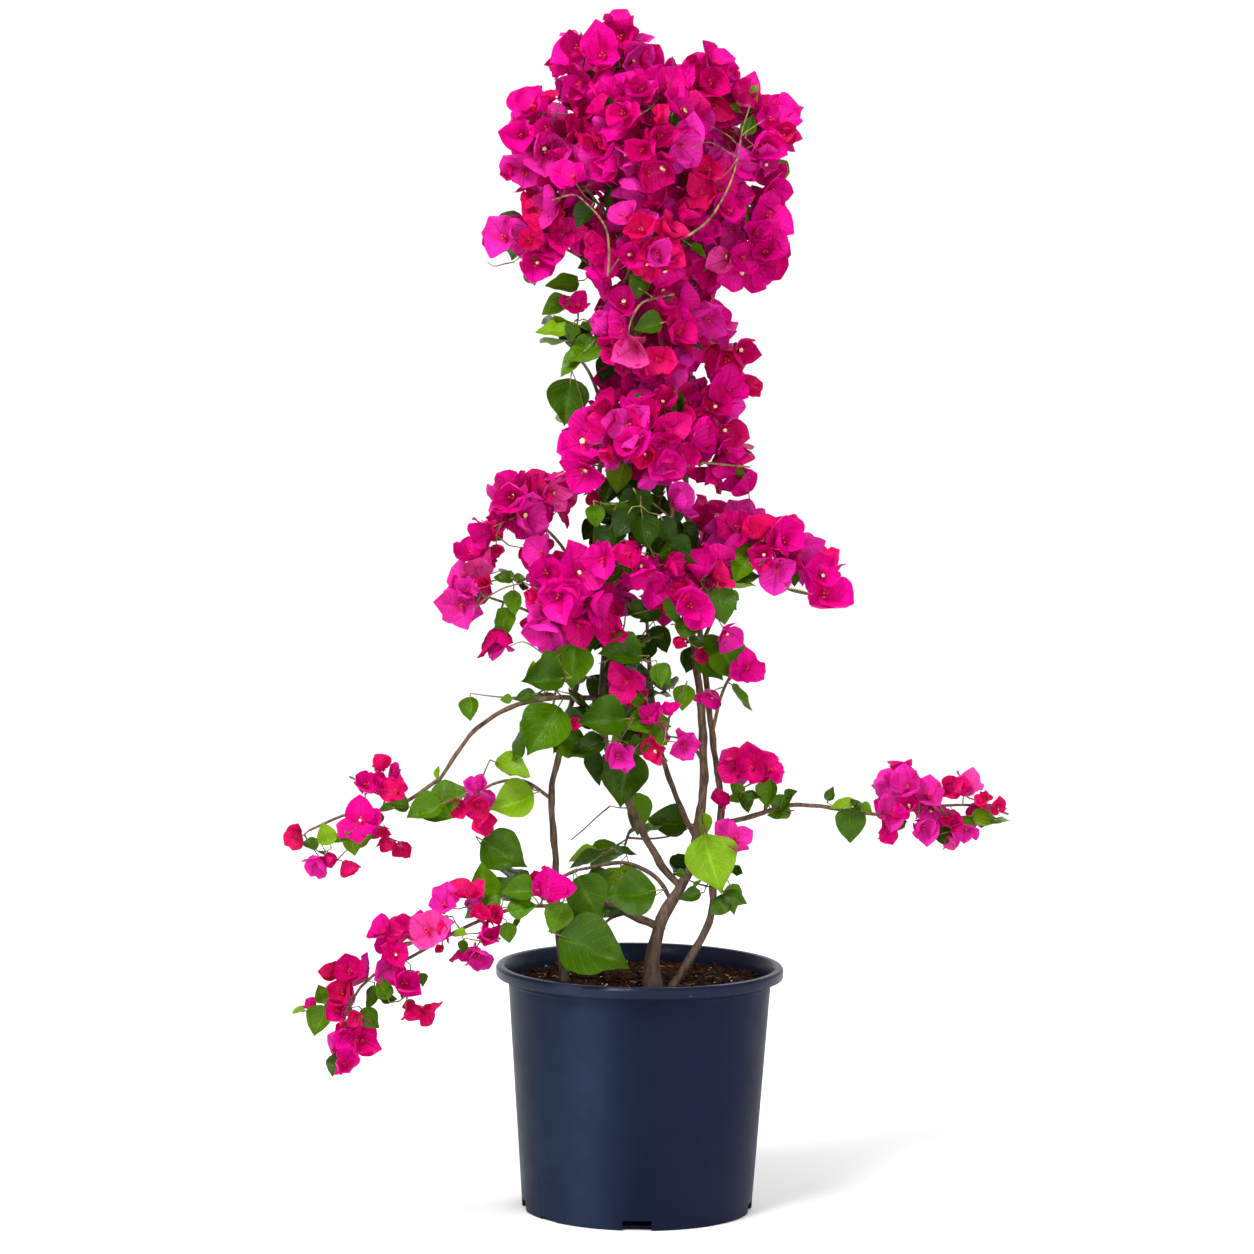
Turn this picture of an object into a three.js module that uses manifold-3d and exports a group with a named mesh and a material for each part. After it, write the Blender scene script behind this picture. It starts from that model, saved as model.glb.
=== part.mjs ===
// A bougainvillea in a round nursery pot: slender woody stems that rise from a short leaning trunk, carry a
// narrow column of foliage with a broad head on it, and send three long arching sprays out to the sides.
// Units are millimetres, +Z is up, and the origin is the centre of the pot's flat underside.
import * as THREE from 'three';
import { mergeVertices } from 'three/addons/utils/BufferGeometryUtils.js';
import Module from 'manifold-3d';

const wasm = await Module();
wasm.setup();

// Driving dimensions.
const GAP = 0.3; // clearance kept between neighbouring solids
const POT = {
  height: 241,
  rimRadius: 141,
  rimHeight: 11,
  rimRound: 2.5,
  neckRadius: 131.5,
  neckHeight: 7,
  shoulderRadius: 128.6,
  footRadius: 113,
  footRound: 1.5,
  wall: 2.4,
  floor: 3.5,
  facets: 40,
};
const SLOT = { width: 28, topWidth: 23, height: 10, depth: 9 }; // drain slots in the pot's foot
const SLOT_DEGREES = [-90, -10, 90, 190]; // where they are, round from +X
const SOIL = { edgeLevel: 225, crownLevel: 229, flatRadius: 96, footLevel: POT.floor + GAP, facets: 36 };
const LIMB_SIDES = 5;
const LIMB_STEP = 38; // length of one straight stretch of a limb
const STEM_SIDES = 3;
const TWIG_RADIUS = 0.9; // stems and twigs are three-sided
const BLOOM = { petal: 38, shoulder: 28, shoulderDegrees: 33, thickness: 3 };
const LEAF = { length: 58, width: 44, thickness: 1.8, widest: 0.42, droop: 0.3 };
const SIZES = [1.1, 0.97, 0.84, 0.71, 0.58]; // a shoot is tried at each of these sizes
const LOBE_TWIG = 0.69; // length of the twigs under blooms and leaves, as a share of the mass's reach
const SPRAY_TWIG = 0.55;
const LEAF_TWIG = 0.16;
const SPRAY_BLOOM = 0.8; // blooms on a spray are smaller
const LEAN = 0.4; // how far a bloom may lean aside
const CAP_EDGE = -0.7; // how far round its heart, back towards the stem, a lobe grows
const MOST_NEW_FACES = 60; // what a shoot adds where it leaves the stem without cutting across others
const GOLDEN_ANGLE = Math.PI * (3 - Math.sqrt(5));
const GROUND = SOIL.crownLevel + GAP; // the level of the flat cuts under the stems

const COLOURS = {
  pot: { color: 0x1f2a44, roughness: 0.45, metalness: 0 },
  soil: { color: 0x2c1c14, roughness: 1, metalness: 0 },
  bark: { color: 0x7a5c48, roughness: 0.85, metalness: 0 },
  bracts: { color: 0xd6067f, roughness: 0.6, metalness: 0 },
  leaves: { color: 0x3f7d22, roughness: 0.5, metalness: 0 },
};

// A limb runs through its points, thinning evenly from its foot to its tip.
// One with a parent starts inside it, and is cut to the parent's bark.
const LIMBS = [
  { name: 'trunk', foot: 7.4, tip: 5.0, flare: 3.4,
    path: [[13, -52, GROUND], [12, -49, 258], [19, -44, 287], [30, -38, 311], [42, -32, 330]] },
  { name: 'right_leader', parent: 'trunk', at: 1, foot: 4.6, tip: 2.2,
    path: [[49, -30, 348], [59, -14, 406], [59, -4, 460], [50, 4, 548], [27, 4, 678], [14, -4, 800],
      [16, -6, 905]] },
  { name: 'centre_leader', parent: 'trunk', at: 0.93, foot: 3.7, tip: 1.9,
    path: [[18, -24, 346], [-7, 2, 388], [-32, 18, 440], [-41, 22, 500], [-31, 20, 600], [-18, 9, 745],
      [-14, 4, 860], [-6, 0, 1000]] },
  { name: 'right_inner_stem', parent: 'right_leader', at: 0.07, foot: 3.0, tip: 1.8,
    path: [[38, -4, 398], [20, 12, 445], [8, 20, 510], [3, 26, 575]] },
  { name: 'right_outer_stem', foot: 3.8, tip: 1.9, flare: 1.2,
    path: [[33, -48, GROUND], [52, -38, 260], [68, -26, 292], [71, -16, 336], [77, -6, 400], [69, 10, 458],
      [59, 20, 540], [46, 18, 640], [38, 16, 740], [36, 12, 850]] },
  { name: 'left_stem', foot: 3.6, tip: 1.8, flare: 1.4,
    path: [[-74, -16, GROUND], [-80, -10, 270], [-84, -2, 345], [-88, 4, 415], [-74, 6, 475], [-57, 4, 560],
      [-48, 4, 660], [-44, 4, 760], [-40, 6, 850]] },
  { name: 'low_left_bough', parent: 'trunk', at: 0.52, foot: 4.4, tip: 2.6,
    path: [[-8, -60, 298], [-36, -76, 312], [-78, -95, 312]] },
  { name: 'short_left_bough', parent: 'trunk', at: 0.78, foot: 2.4, tip: 1.5,
    path: [[14, -44, 334], [-16, -34, 346], [-62, -24, 337]] },
  { name: 'high_left_arch', parent: 'centre_leader', at: 0.295, foot: 2.7, tip: 1.8,
    path: [[-60, -4, 503], [-88, -14, 504], [-126, -18, 496], [-164, -24, 472], [-196, -31, 426]] },
  { name: 'right_arch', parent: 'right_outer_stem', at: 0.262, foot: 2.7, tip: 1.8,
    path: [[104, -12, 389], [140, -14, 401], [172, -9, 401], [200, -5, 396]] },
];

// A lobe is a rounded mass of foliage. Its stem leaves a limb and ends at the lobe's heart, and its reach is
// how far the twigs, blooms and leaves go from there.
const LOBES = [
  // the head
  { name: 'crown_peak', limb: 'centre_leader', at: 1,
    heart: [-38, -8, 1112], reach: 60, blooms: 11, leaves: 0 },
  { name: 'crown_right', limb: 'centre_leader', at: 0.95,
    heart: [52, 0, 1092], reach: 56, blooms: 10, leaves: 0 },
  { name: 'head_right_top', limb: 'right_leader', at: 1,
    heart: [104, -4, 1036], reach: 54, blooms: 9, leaves: 0 },
  { name: 'head_right_low', limb: 'right_leader', at: 0.94,
    heart: [96, -4, 948], reach: 58, blooms: 10, leaves: 0 },
  { name: 'head_left_top', limb: 'centre_leader', at: 0.89,
    heart: [-100, -6, 1042], reach: 60, blooms: 11, leaves: 0 },
  { name: 'head_left_low', limb: 'centre_leader', at: 0.82,
    heart: [-104, -8, 952], reach: 58, blooms: 10, leaves: 1 },
  { name: 'head_front_top', limb: 'centre_leader', at: 0.975,
    heart: [-6, -72, 1048], reach: 64, blooms: 12, leaves: 0 },
  { name: 'head_front_low', limb: 'left_stem', at: 1,
    heart: [-4, -68, 946], reach: 62, blooms: 11, leaves: 0 },
  { name: 'head_back_top', limb: 'centre_leader', at: 0.92,
    heart: [0, 70, 1050], reach: 68, blooms: 11, leaves: 1 },
  { name: 'head_back_low', limb: 'centre_leader', at: 0.84,
    heart: [-4, 74, 952], reach: 66, blooms: 11, leaves: 1 },
  { name: 'head_front_left', limb: 'centre_leader', at: 0.86,
    heart: [-62, -44, 1000], reach: 50, blooms: 8, leaves: 0 },
  { name: 'head_front_right', limb: 'right_leader', at: 0.97,
    heart: [58, -44, 998], reach: 50, blooms: 8, leaves: 0 },
  // the column
  { name: 'column_right_top', limb: 'right_outer_stem', at: 0.97,
    heart: [62, 2, 868], reach: 52, blooms: 10, leaves: 0 },
  { name: 'column_right_low', limb: 'right_outer_stem', at: 0.8,
    heart: [60, -6, 768], reach: 54, blooms: 10, leaves: 0 },
  { name: 'column_front_top', limb: 'left_stem', at: 0.95,
    heart: [2, -50, 866], reach: 56, blooms: 9, leaves: 1 },
  { name: 'column_front_low', limb: 'right_leader', at: 0.68,
    heart: [2, -52, 764], reach: 58, blooms: 10, leaves: 1 },
  { name: 'column_left_leaves', limb: 'left_stem', at: 0.9,
    heart: [-74, -4, 844], reach: 58, blooms: 0, leaves: 7 },
  { name: 'column_left_low', limb: 'left_stem', at: 0.76,
    heart: [-58, -8, 752], reach: 54, blooms: 10, leaves: 0 },
  { name: 'column_back_top', limb: 'centre_leader', at: 0.74,
    heart: [4, 56, 862], reach: 60, blooms: 9, leaves: 2 },
  { name: 'column_back_low', limb: 'centre_leader', at: 0.6,
    heart: [2, 58, 760], reach: 60, blooms: 9, leaves: 2 },
  // the skirt below the column
  { name: 'skirt_left', limb: 'left_stem', at: 0.6,
    heart: [-126, -10, 692], reach: 58, blooms: 11, leaves: 0 },
  { name: 'skirt_left_low', limb: 'left_stem', at: 0.5,
    heart: [-158, -14, 604], reach: 56, blooms: 9, leaves: 1 },
  { name: 'skirt_front_left', limb: 'left_stem', at: 0.54,
    heart: [-76, -44, 612], reach: 58, blooms: 10, leaves: 0 },
  { name: 'skirt_front', limb: 'centre_leader', at: 0.45,
    heart: [-6, -60, 654], reach: 58, blooms: 10, leaves: 0 },
  { name: 'skirt_front_right', limb: 'right_leader', at: 0.46,
    heart: [52, -48, 600], reach: 54, blooms: 8, leaves: 1 },
  { name: 'skirt_right', limb: 'right_outer_stem', at: 0.54,
    heart: [122, -6, 652], reach: 60, blooms: 11, leaves: 0 },
  { name: 'skirt_right_tip', limb: 'right_outer_stem', at: 0.47,
    heart: [172, -8, 606], reach: 48, blooms: 6, leaves: 0 },
  { name: 'skirt_right_leaves', limb: 'right_outer_stem', at: 0.4,
    heart: [92, -2, 540], reach: 56, blooms: 4, leaves: 6 },
  { name: 'skirt_back_left', limb: 'right_inner_stem', at: 1,
    heart: [-58, 60, 622], reach: 60, blooms: 8, leaves: 3 },
  { name: 'skirt_back_right', limb: 'right_outer_stem', at: 0.5,
    heart: [50, 66, 626], reach: 60, blooms: 8, leaves: 3 },
  // the leafy stems above the pot
  { name: 'left_leaves', limb: 'left_stem', at: 0.37,
    heart: [-98, -34, 500], reach: 66, blooms: 0, leaves: 10 },
  { name: 'centre_blooms', limb: 'centre_leader', at: 0.34,
    heart: [-6, -44, 548], reach: 54, blooms: 5, leaves: 4 },
  { name: 'centre_leaves', limb: 'centre_leader', at: 0.22,
    heart: [-34, -40, 464], reach: 62, blooms: 3, leaves: 8 },
  { name: 'right_centre_blooms', limb: 'right_leader', at: 0.2,
    heart: [34, -44, 470], reach: 48, blooms: 5, leaves: 2 },
  { name: 'back_leaves', limb: 'right_inner_stem', at: 0.6,
    heart: [4, 60, 500], reach: 62, blooms: 3, leaves: 7 },
  { name: 'right_low_blooms', limb: 'right_arch', at: 0.36,
    heart: [108, -20, 444], reach: 46, blooms: 7, leaves: 1 },
  { name: 'right_low_leaves', limb: 'right_outer_stem', at: 0.17,
    heart: [78, -46, 346], reach: 58, blooms: 1, leaves: 6 },
  { name: 'base_left_leaves', limb: 'short_left_bough', at: 1,
    heart: [-100, -44, 318], reach: 60, blooms: 2, leaves: 7 },
  { name: 'base_front_leaves', limb: 'low_left_bough', at: 0.36,
    heart: [-40, -96, 288], reach: 56, blooms: 0, leaves: 6 },
  { name: 'base_back_leaves', limb: 'centre_leader', at: 0.1,
    heart: [-16, 50, 352], reach: 58, blooms: 0, leaves: 7 },
];

// A spray is foliage strung along a stem that carries on where its bough ends, or leaves a limb's side.
const SPRAYS = [
  { name: 'mid_left_spray', limb: 'left_stem', at: 0.28, reach: 44, blooms: 6, leaves: 4,
    path: [[-116, -10, 422], [-144, -18, 420], [-166, -24, 406]] },
  { name: 'high_left_spray', limb: 'high_left_arch', at: 1, reach: 48, blooms: 14, leaves: 4,
    path: [[-240, -38, 398], [-284, -45, 392], [-322, -50, 376]] },
  { name: 'low_left_spray', limb: 'low_left_bough', at: 1, reach: 48, blooms: 20, leaves: 7,
    path: [[-118, -109, 312], [-172, -120, 292], [-218, -126, 266], [-260, -131, 244], [-282, -132, 206],
      [-283, -132, 170]] },
  { name: 'right_spray', limb: 'right_arch', at: 1, reach: 46, blooms: 14, leaves: 6,
    path: [[236, 0, 392], [290, 8, 400], [332, 12, 400], [360, 14, 392]] },
];

const vector = (p) => new THREE.Vector3(...p);
const lerp = THREE.MathUtils.lerp;
const clamp = THREE.MathUtils.clamp;

// A repeatable stream of numbers from 0 to 1, started from a name.
function seeded(name) {
  let state = [...name].reduce((sum, letter) => Math.imul(sum ^ letter.charCodeAt(0), 16777619), 2166136261);
  return () => {
    state = (state + 0x6d2b79f5) | 0;
    let t = Math.imul(state ^ (state >>> 15), 1 | state);
    t = (t + Math.imul(t ^ (t >>> 7), 61 | t)) ^ t;
    return ((t ^ (t >>> 14)) >>> 0) / 4294967296;
  };
}

// A closed mesh as a solid, with its shared vertices merged.
function solidOf(geometry) {
  const bare = geometry.clone();
  bare.deleteAttribute('normal');
  bare.deleteAttribute('uv');
  const merged = mergeVertices(bare, 1e-4);
  return new wasm.Manifold(new wasm.Mesh({
    numProp: 3,
    vertProperties: new Float32Array(merged.attributes.position.array),
    triVerts: new Uint32Array(merged.index.array),
  }));
}

// A solid as a mesh with flat faces.
function geometryOf(solid) {
  const mesh = solid.getMesh();
  const indexed = new THREE.BufferGeometry();
  indexed.setAttribute('position', new THREE.BufferAttribute(new Float32Array(mesh.vertProperties), 3));
  indexed.setIndex(new THREE.BufferAttribute(mesh.triVerts, 1));
  const flat = indexed.toNonIndexed();
  flat.computeVertexNormals();
  return flat;
}

const largestPiece = (solid) => solid.decompose().reduce((a, b) => (b.volume() > a.volume() ? b : a));

// A closed tube along a curve, whose radius follows radiusAt from 0 to 1. Flat lays its foot level, and
// extra makes it that much fatter and longer at both ends.
function taperedTube(curve, steps, sides, radiusAt, flatFoot = false, extra = 0) {
  const frames = curve.computeFrenetFrames(steps, false);
  const corners = [];
  for (let i = 0; i <= steps; i++) {
    const past = (i === steps ? extra : 0) - (i === 0 ? extra : 0);
    const centre = curve.getPointAt(i / steps).addScaledVector(frames.tangents[i], past);
    const radius = radiusAt(i / steps) + extra / Math.cos(Math.PI / sides);
    for (let k = 0; k < sides; k++) {
      const angle = (2 * Math.PI * k) / sides;
      const corner = centre.clone()
        .addScaledVector(frames.normals[i], radius * Math.cos(angle))
        .addScaledVector(frames.binormals[i], radius * Math.sin(angle));
      if (i === 0 && flatFoot) corner.z = centre.z;
      corners.push(corner.x, corner.y, corner.z);
    }
  }
  const faces = [];
  for (let i = 0; i < steps; i++) {
    for (let k = 0; k < sides; k++) {
      const a = i * sides + k;
      const b = i * sides + ((k + 1) % sides);
      faces.push(a, b, b + sides, a, b + sides, a + sides);
    }
  }
  for (let k = 1; k < sides - 1; k++) {
    faces.push(0, k + 1, k);
    faces.push(steps * sides, steps * sides + k, steps * sides + k + 1);
  }
  const tube = new THREE.BufferGeometry();
  tube.setAttribute('position', new THREE.Float32BufferAttribute(corners, 3));
  tube.setIndex(faces);
  return tube;
}

// The pot: one turned shell with a rolled rim, a stacking ring under it and slots through its foot.
function makePot() {
  const { height, rimRadius, rimHeight, rimRound } = POT;
  const { neckRadius, neckHeight, footRadius, footRound, wall } = POT;
  const rimFoot = height - rimHeight;
  const neckFoot = rimFoot - neckHeight;
  const profile = [
    [0, 0],
    [footRadius - footRound, 0],
    [footRadius, footRound],
    [POT.shoulderRadius, neckFoot],
    [neckRadius, neckFoot + 2],
    [neckRadius, rimFoot],
    [rimRadius, rimFoot],
    [rimRadius, height - rimRound],
    [rimRadius - rimRound, height],
    [neckRadius + 1.5, height],
    [POT.shoulderRadius - wall, neckFoot],
    [footRadius - wall, POT.floor],
    [0, POT.floor],
  ].map(([r, z]) => new THREE.Vector2(r, z));
  let pot = solidOf(new THREE.LatheGeometry(profile, POT.facets).rotateX(Math.PI / 2));
  const outline = new THREE.Shape([
    new THREE.Vector2(-SLOT.width / 2, -1),
    new THREE.Vector2(SLOT.width / 2, -1),
    new THREE.Vector2(SLOT.topWidth / 2, SLOT.height),
    new THREE.Vector2(-SLOT.topWidth / 2, SLOT.height),
  ]);
  for (const degrees of SLOT_DEGREES) {
    const slot = new THREE.ExtrudeGeometry(outline, { depth: SLOT.depth + 4, bevelEnabled: false })
      .rotateX(Math.PI / 2)
      .translate(0, footRadius + 4, 0)
      .rotateZ(THREE.MathUtils.degToRad(degrees - 90));
    pot = pot.subtract(solidOf(slot));
  }
  return pot;
}

// The potting soil fills the pot to just below its rim, and rises a little to a level top where the stems
// stand.
function makeSoil() {
  const { edgeLevel, crownLevel, flatRadius, footLevel } = SOIL;
  const shoulderLevel = POT.height - POT.rimHeight - POT.neckHeight;
  const share = (z) => (z - POT.footRound) / (shoulderLevel - POT.footRound);
  const inside = (z) => lerp(POT.footRadius, POT.shoulderRadius, share(z)) - POT.wall - 2 * GAP;
  const profile = [
    [0, footLevel],
    [inside(footLevel) - 0.5, footLevel],
    [inside(shoulderLevel - 4), shoulderLevel - 4],
    [inside(shoulderLevel - 4), edgeLevel],
    [flatRadius, crownLevel],
    [0, crownLevel],
  ].map(([r, z]) => new THREE.Vector2(r, z));
  return solidOf(new THREE.LatheGeometry(profile, SOIL.facets).rotateX(Math.PI / 2));
}

// Every limb gets its curve, its solid, and a slightly fatter copy that its neighbours are cut by.
function makeLimbs() {
  const made = new Map();
  for (const spec of LIMBS) {
    const parent = spec.parent && made.get(spec.parent);
    const start = parent ? [parent.curve.getPointAt(spec.at)] : [];
    const curve = new THREE.CatmullRomCurve3([...start, ...spec.path.map(vector)], false, 'centripetal');
    const length = curve.getLength();
    const steps = Math.max(4, Math.round(length / LIMB_STEP));
    const radiusAt = (t) => lerp(spec.foot, spec.tip, t) + (spec.flare || 0) * Math.exp((-t * length) / 9);
    let solid = solidOf(taperedTube(curve, steps, LIMB_SIDES, radiusAt, !parent));
    if (parent) solid = largestPiece(solid.subtract(parent.clearance));
    const clearance = solidOf(taperedTube(curve, steps, LIMB_SIDES, radiusAt, !parent, GAP));
    made.set(spec.name, { curve, solid, clearance, radiusAt });
  }
  return made;
}

const limbs = makeLimbs();

// The stem of a mass: from its limb, out along its own line. A lobe's stem rises a little on its way to the
// heart.
function stemOf(spec) {
  const foot = limbs.get(spec.limb).curve.getPointAt(spec.at);
  const ahead = limbs.get(spec.limb).curve.getTangentAt(spec.at);
  if (spec.path) return new THREE.CatmullRomCurve3([foot, ...spec.path.map(vector)], false, 'centripetal');
  const heart = vector(spec.heart);
  const span = foot.distanceTo(heart);
  const middle = foot.clone().lerp(heart, 0.45).addScaledVector(ahead, 0.12 * span);
  return new THREE.CatmullRomCurve3([foot, middle, heart], false, 'centripetal');
}

// The space of a mass is a string of balls along its stem: slim where the stem leaves the limb, full at the
// heart.
const STEM_REACH = 7;
const ROOM = 1.15; // how far past the mass's reach its own space goes
const BALLS = 10;
function spaceOf(spec, stem) {
  return Array.from({ length: BALLS + 1 }, (_, i) => {
    const t = i / BALLS;
    const full = spec.path ? clamp(0.75 + t * 3, 0, 1) : clamp((t - 0.35) / 0.65, 0, 1) ** 1.5;
    return { centre: stem.getPointAt(t), radius: Math.max(STEM_REACH, ROOM * spec.reach * full) };
  });
}

const masses = [...LOBES, ...SPRAYS].map((spec) => {
  const stem = stemOf(spec);
  return { ...spec, stem, space: spaceOf(spec, stem), random: seeded(spec.name) };
});

// How deep a point lies in a mass's space: 0 at the middle of a ball, 1 at its edge.
const depthIn = (mass, point) => Math.min(
  ...mass.space.map((ball) => ball.centre.distanceTo(point) / ball.radius));

// Whether every point lies in this mass's own space, and deeper in it than in any other's.
const MARGIN = 0.03;
function keepsToItsSpace(mass, { points, round }) {
  const others = masses.filter((other) => other !== mass && other.space.some(
    (ball) => ball.centre.distanceTo(round.center) < round.radius + (1 + MARGIN) * ball.radius));
  return points.every((point) => {
    const own = depthIn(mass, point);
    return own < 1 && others.every((other) => depthIn(other, point) > own + MARGIN);
  });
}

// Short straight stretches of every limb and stem, which foliage must clear.
const stretches = [];
function addStretches(owner, curve, radiusAt) {
  const steps = Math.ceil(curve.getLength() / 12);
  for (let i = 0; i < steps; i++) {
    stretches.push({
      owner,
      line: new THREE.Line3(curve.getPointAt(i / steps), curve.getPointAt((i + 1) / steps)),
      radius: radiusAt(i / steps),
    });
  }
}
limbs.forEach((limb, name) => addStretches(name, limb.curve, limb.radiusAt));
const stemRadius = (t) => lerp(2.6, 2.2, t);
masses.forEach((mass) => addStretches(mass.name, mass.stem, stemRadius));

const nearest = new THREE.Vector3();
const CLEARANCE = 1.2;
function clearsLimbs(mass, { points, round }) {
  return stretches.every(({ owner, line, radius }) => {
    line.closestPointToPoint(round.center, true, nearest);
    const near = nearest.distanceTo(round.center) < round.radius + radius + CLEARANCE;
    return owner === mass.name || !near || points.every((point) => {
      line.closestPointToPoint(point, true, nearest);
      return nearest.distanceTo(point) > radius + CLEARANCE;
    });
  });
}

const insidePot = (point) => point.z < POT.height + 4 && Math.hypot(point.x, point.y) < POT.rimRadius + 4;

// Points spread over a shape's triangles, no farther apart than SPREAD, and a ball round them, for the tests
// above.
const SPREAD = 6;
function samplesOf(geometry) {
  const position = geometry.attributes.position;
  const order = geometry.index.array;
  const corner = (i) => new THREE.Vector3().fromBufferAttribute(position, order[i]);
  const points = [];
  for (let i = 0; i < order.length; i += 3) {
    const [a, b, c] = [corner(i), corner(i + 1), corner(i + 2)];
    const rows = Math.ceil(Math.max(a.distanceTo(b), b.distanceTo(c), c.distanceTo(a)) / SPREAD);
    for (let j = 0; j <= rows; j++) {
      const from = a.clone().lerp(b, j / rows);
      const to = a.clone().lerp(c, j / rows);
      for (let k = 0; k <= j; k++) points.push(from.clone().lerp(to, j ? k / j : 0));
    }
  }
  geometry.computeBoundingSphere();
  return { points, round: geometry.boundingSphere };
}

// An indexed shape from its points and faces.
function shapeOf(points, faces) {
  const shape = new THREE.BufferGeometry();
  shape.setAttribute('position', new THREE.Float32BufferAttribute(points.flatMap((p) => p.toArray()), 3));
  shape.setIndex(faces.flat());
  return shape;
}

// A twig that ends in a bloom: three papery bracts round the twig's end, facing on from the twig or leaning
// a little aside. Cup bends their tips forward or back. Points 0-2 are the twig's foot, 3-5 its end under
// the bloom, 6 the bloom's heart, and 7-15 the bracts' edge.
function bloomShoot(start, tip, size, { cup, spin, lean }) {
  const out = tip.clone().sub(start);
  const facing = out.clone().normalize().addScaledVector(lean, LEAN).normalize();
  const turn = new THREE.Quaternion().setFromUnitVectors(new THREE.Vector3(0, 0, 1), facing);
  turn.multiply(new THREE.Quaternion().setFromAxisAngle(new THREE.Vector3(0, 0, 1), spin));
  const at = (radius, degrees, rise) => {
    const angle = THREE.MathUtils.degToRad(degrees);
    const place = new THREE.Vector3(radius * Math.cos(angle), radius * Math.sin(angle), rise);
    return place.applyQuaternion(turn).add(tip);
  };
  const bracts = [0, 120, 240];
  const points = [
    ...bracts.map((degrees) => at(TWIG_RADIUS, degrees, 0).sub(out)),
    ...bracts.map((degrees) => at(TWIG_RADIUS, degrees, -BLOOM.thickness / 2)),
    at(0, 0, BLOOM.thickness / 2),
    ...bracts.flatMap((degrees) => [
      at(BLOOM.shoulder * size, degrees - BLOOM.shoulderDegrees, 0.75 * cup * size),
      at(BLOOM.petal * size, degrees, cup * size),
      at(BLOOM.shoulder * size, degrees + BLOOM.shoulderDegrees, 0.75 * cup * size),
    ]),
  ];
  const faces = [[0, 2, 1]];
  for (let k = 0; k < 3; k++) {
    const next = (k + 1) % 3;
    const [left, middle, right, nextLeft] = [7 + 3 * k, 8 + 3 * k, 9 + 3 * k, 7 + 3 * next];
    faces.push([k, next, 3 + next], [k, 3 + next, 3 + k]);
    faces.push([3 + k, middle, left], [3 + k, right, middle]);
    faces.push([3 + k, 3 + next, right], [3 + next, nextLeft, right]);
    faces.push([6, left, middle], [6, middle, right], [6, right, nextLeft]);
  }
  return shapeOf(points, faces);
}

// A twig that ends in a leaf: a pointed blade with its top as near upwards as it can be, drooping to its
// tip. Points 0-2 are the twig's foot, 3-5 the leaf's foot, 6-8 its edge, and 9 and 10 the middle of its top
// and underside.
function leafShoot(start, tip, size) {
  const out = tip.clone().sub(start).normalize();
  const along = out.clone().setZ(Math.max(-0.5, out.z * 0.6)).normalize();
  const side = new THREE.Vector3().crossVectors(new THREE.Vector3(0, 0, 1), along);
  if (side.lengthSq() < 0.01) side.set(0, 1, 0);
  side.normalize();
  const top = new THREE.Vector3().crossVectors(along, side);
  const at = (base, x, y, z) => {
    const place = base.clone().addScaledVector(along, x);
    return place.addScaledVector(side, y).addScaledVector(top, z);
  };
  const [length, half] = [LEAF.length * size, (LEAF.width * size) / 2];
  const ring = (base, r) => [at(base, 0, -r, 0.5 * r), at(base, 0, r, 0.5 * r), at(base, 0, 0, -r)];
  const middle = at(tip, LEAF.widest * length, 0, -0.06 * length);
  const points = [
    ...ring(start, TWIG_RADIUS),
    ...ring(tip, TWIG_RADIUS),
    at(tip, LEAF.widest * length, -half, 0.03 * length),
    at(tip, length, 0, -LEAF.droop * length),
    at(tip, LEAF.widest * length, half, 0.03 * length),
    middle.clone().addScaledVector(top, LEAF.thickness / 2),
    middle.clone().addScaledVector(top, -LEAF.thickness / 2),
  ];
  const tube = [[0, 1, 2], [0, 3, 4], [0, 4, 1], [1, 4, 5], [1, 5, 2], [2, 5, 3], [2, 3, 0]];
  const over = [[9, 4, 3], [9, 3, 6], [9, 6, 7], [9, 7, 8], [9, 8, 4]];
  const under = [[10, 6, 3], [10, 7, 6], [10, 8, 7], [10, 4, 8], [10, 3, 5], [10, 5, 4]];
  return shapeOf(points, [...tube, ...over, ...under]);
}

// Where the shoots of a mass start and where their twigs end. A lobe's spread evenly over a cap round its
// heart that faces on from its stem, and start from the length of the stem after startAt. A spray's wind
// round its stem by the golden angle and lean forward.
function shootPlan(mass, count, twigLength, startAt) {
  const heart = mass.stem.getPointAt(1);
  const onward = heart.clone().sub(mass.stem.getPointAt(0)).normalize();
  const facing = new THREE.Quaternion().setFromUnitVectors(new THREE.Vector3(0, 0, 1), onward);
  return Array.from({ length: count }, (_, k) => {
    const step = (k + 0.5) / count;
    const turn = k * GOLDEN_ANGLE + 0.5 * mass.random();
    const length = twigLength * mass.reach * (0.9 + 0.2 * mass.random());
    if (mass.path) {
      const t = lerp(0.1, 1, step);
      const along = mass.stem.getTangentAt(t);
      const side = new THREE.Vector3().crossVectors(along, new THREE.Vector3(0, 0, 1)).normalize();
      const over = new THREE.Vector3().crossVectors(side, along);
      const out = along.multiplyScalar(0.35);
      out.addScaledVector(side, Math.cos(turn)).addScaledVector(over, Math.sin(turn));
      return {
        start: mass.stem.getPointAt(Math.max(0.04, t - 0.04)),
        tip: mass.stem.getPointAt(t).addScaledVector(out, length),
      };
    }
    const height = lerp(0.95, CAP_EDGE, step);
    const round = Math.sqrt(1 - height ** 2);
    const out = new THREE.Vector3(round * Math.cos(turn), round * Math.sin(turn), height);
    out.applyQuaternion(facing);
    const start = mass.stem.getPointAt(lerp(0.98, startAt, step));
    const from = twigLength === LEAF_TWIG ? start : heart;
    return { start, tip: from.clone().addScaledVector(out, length) };
  });
}

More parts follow.
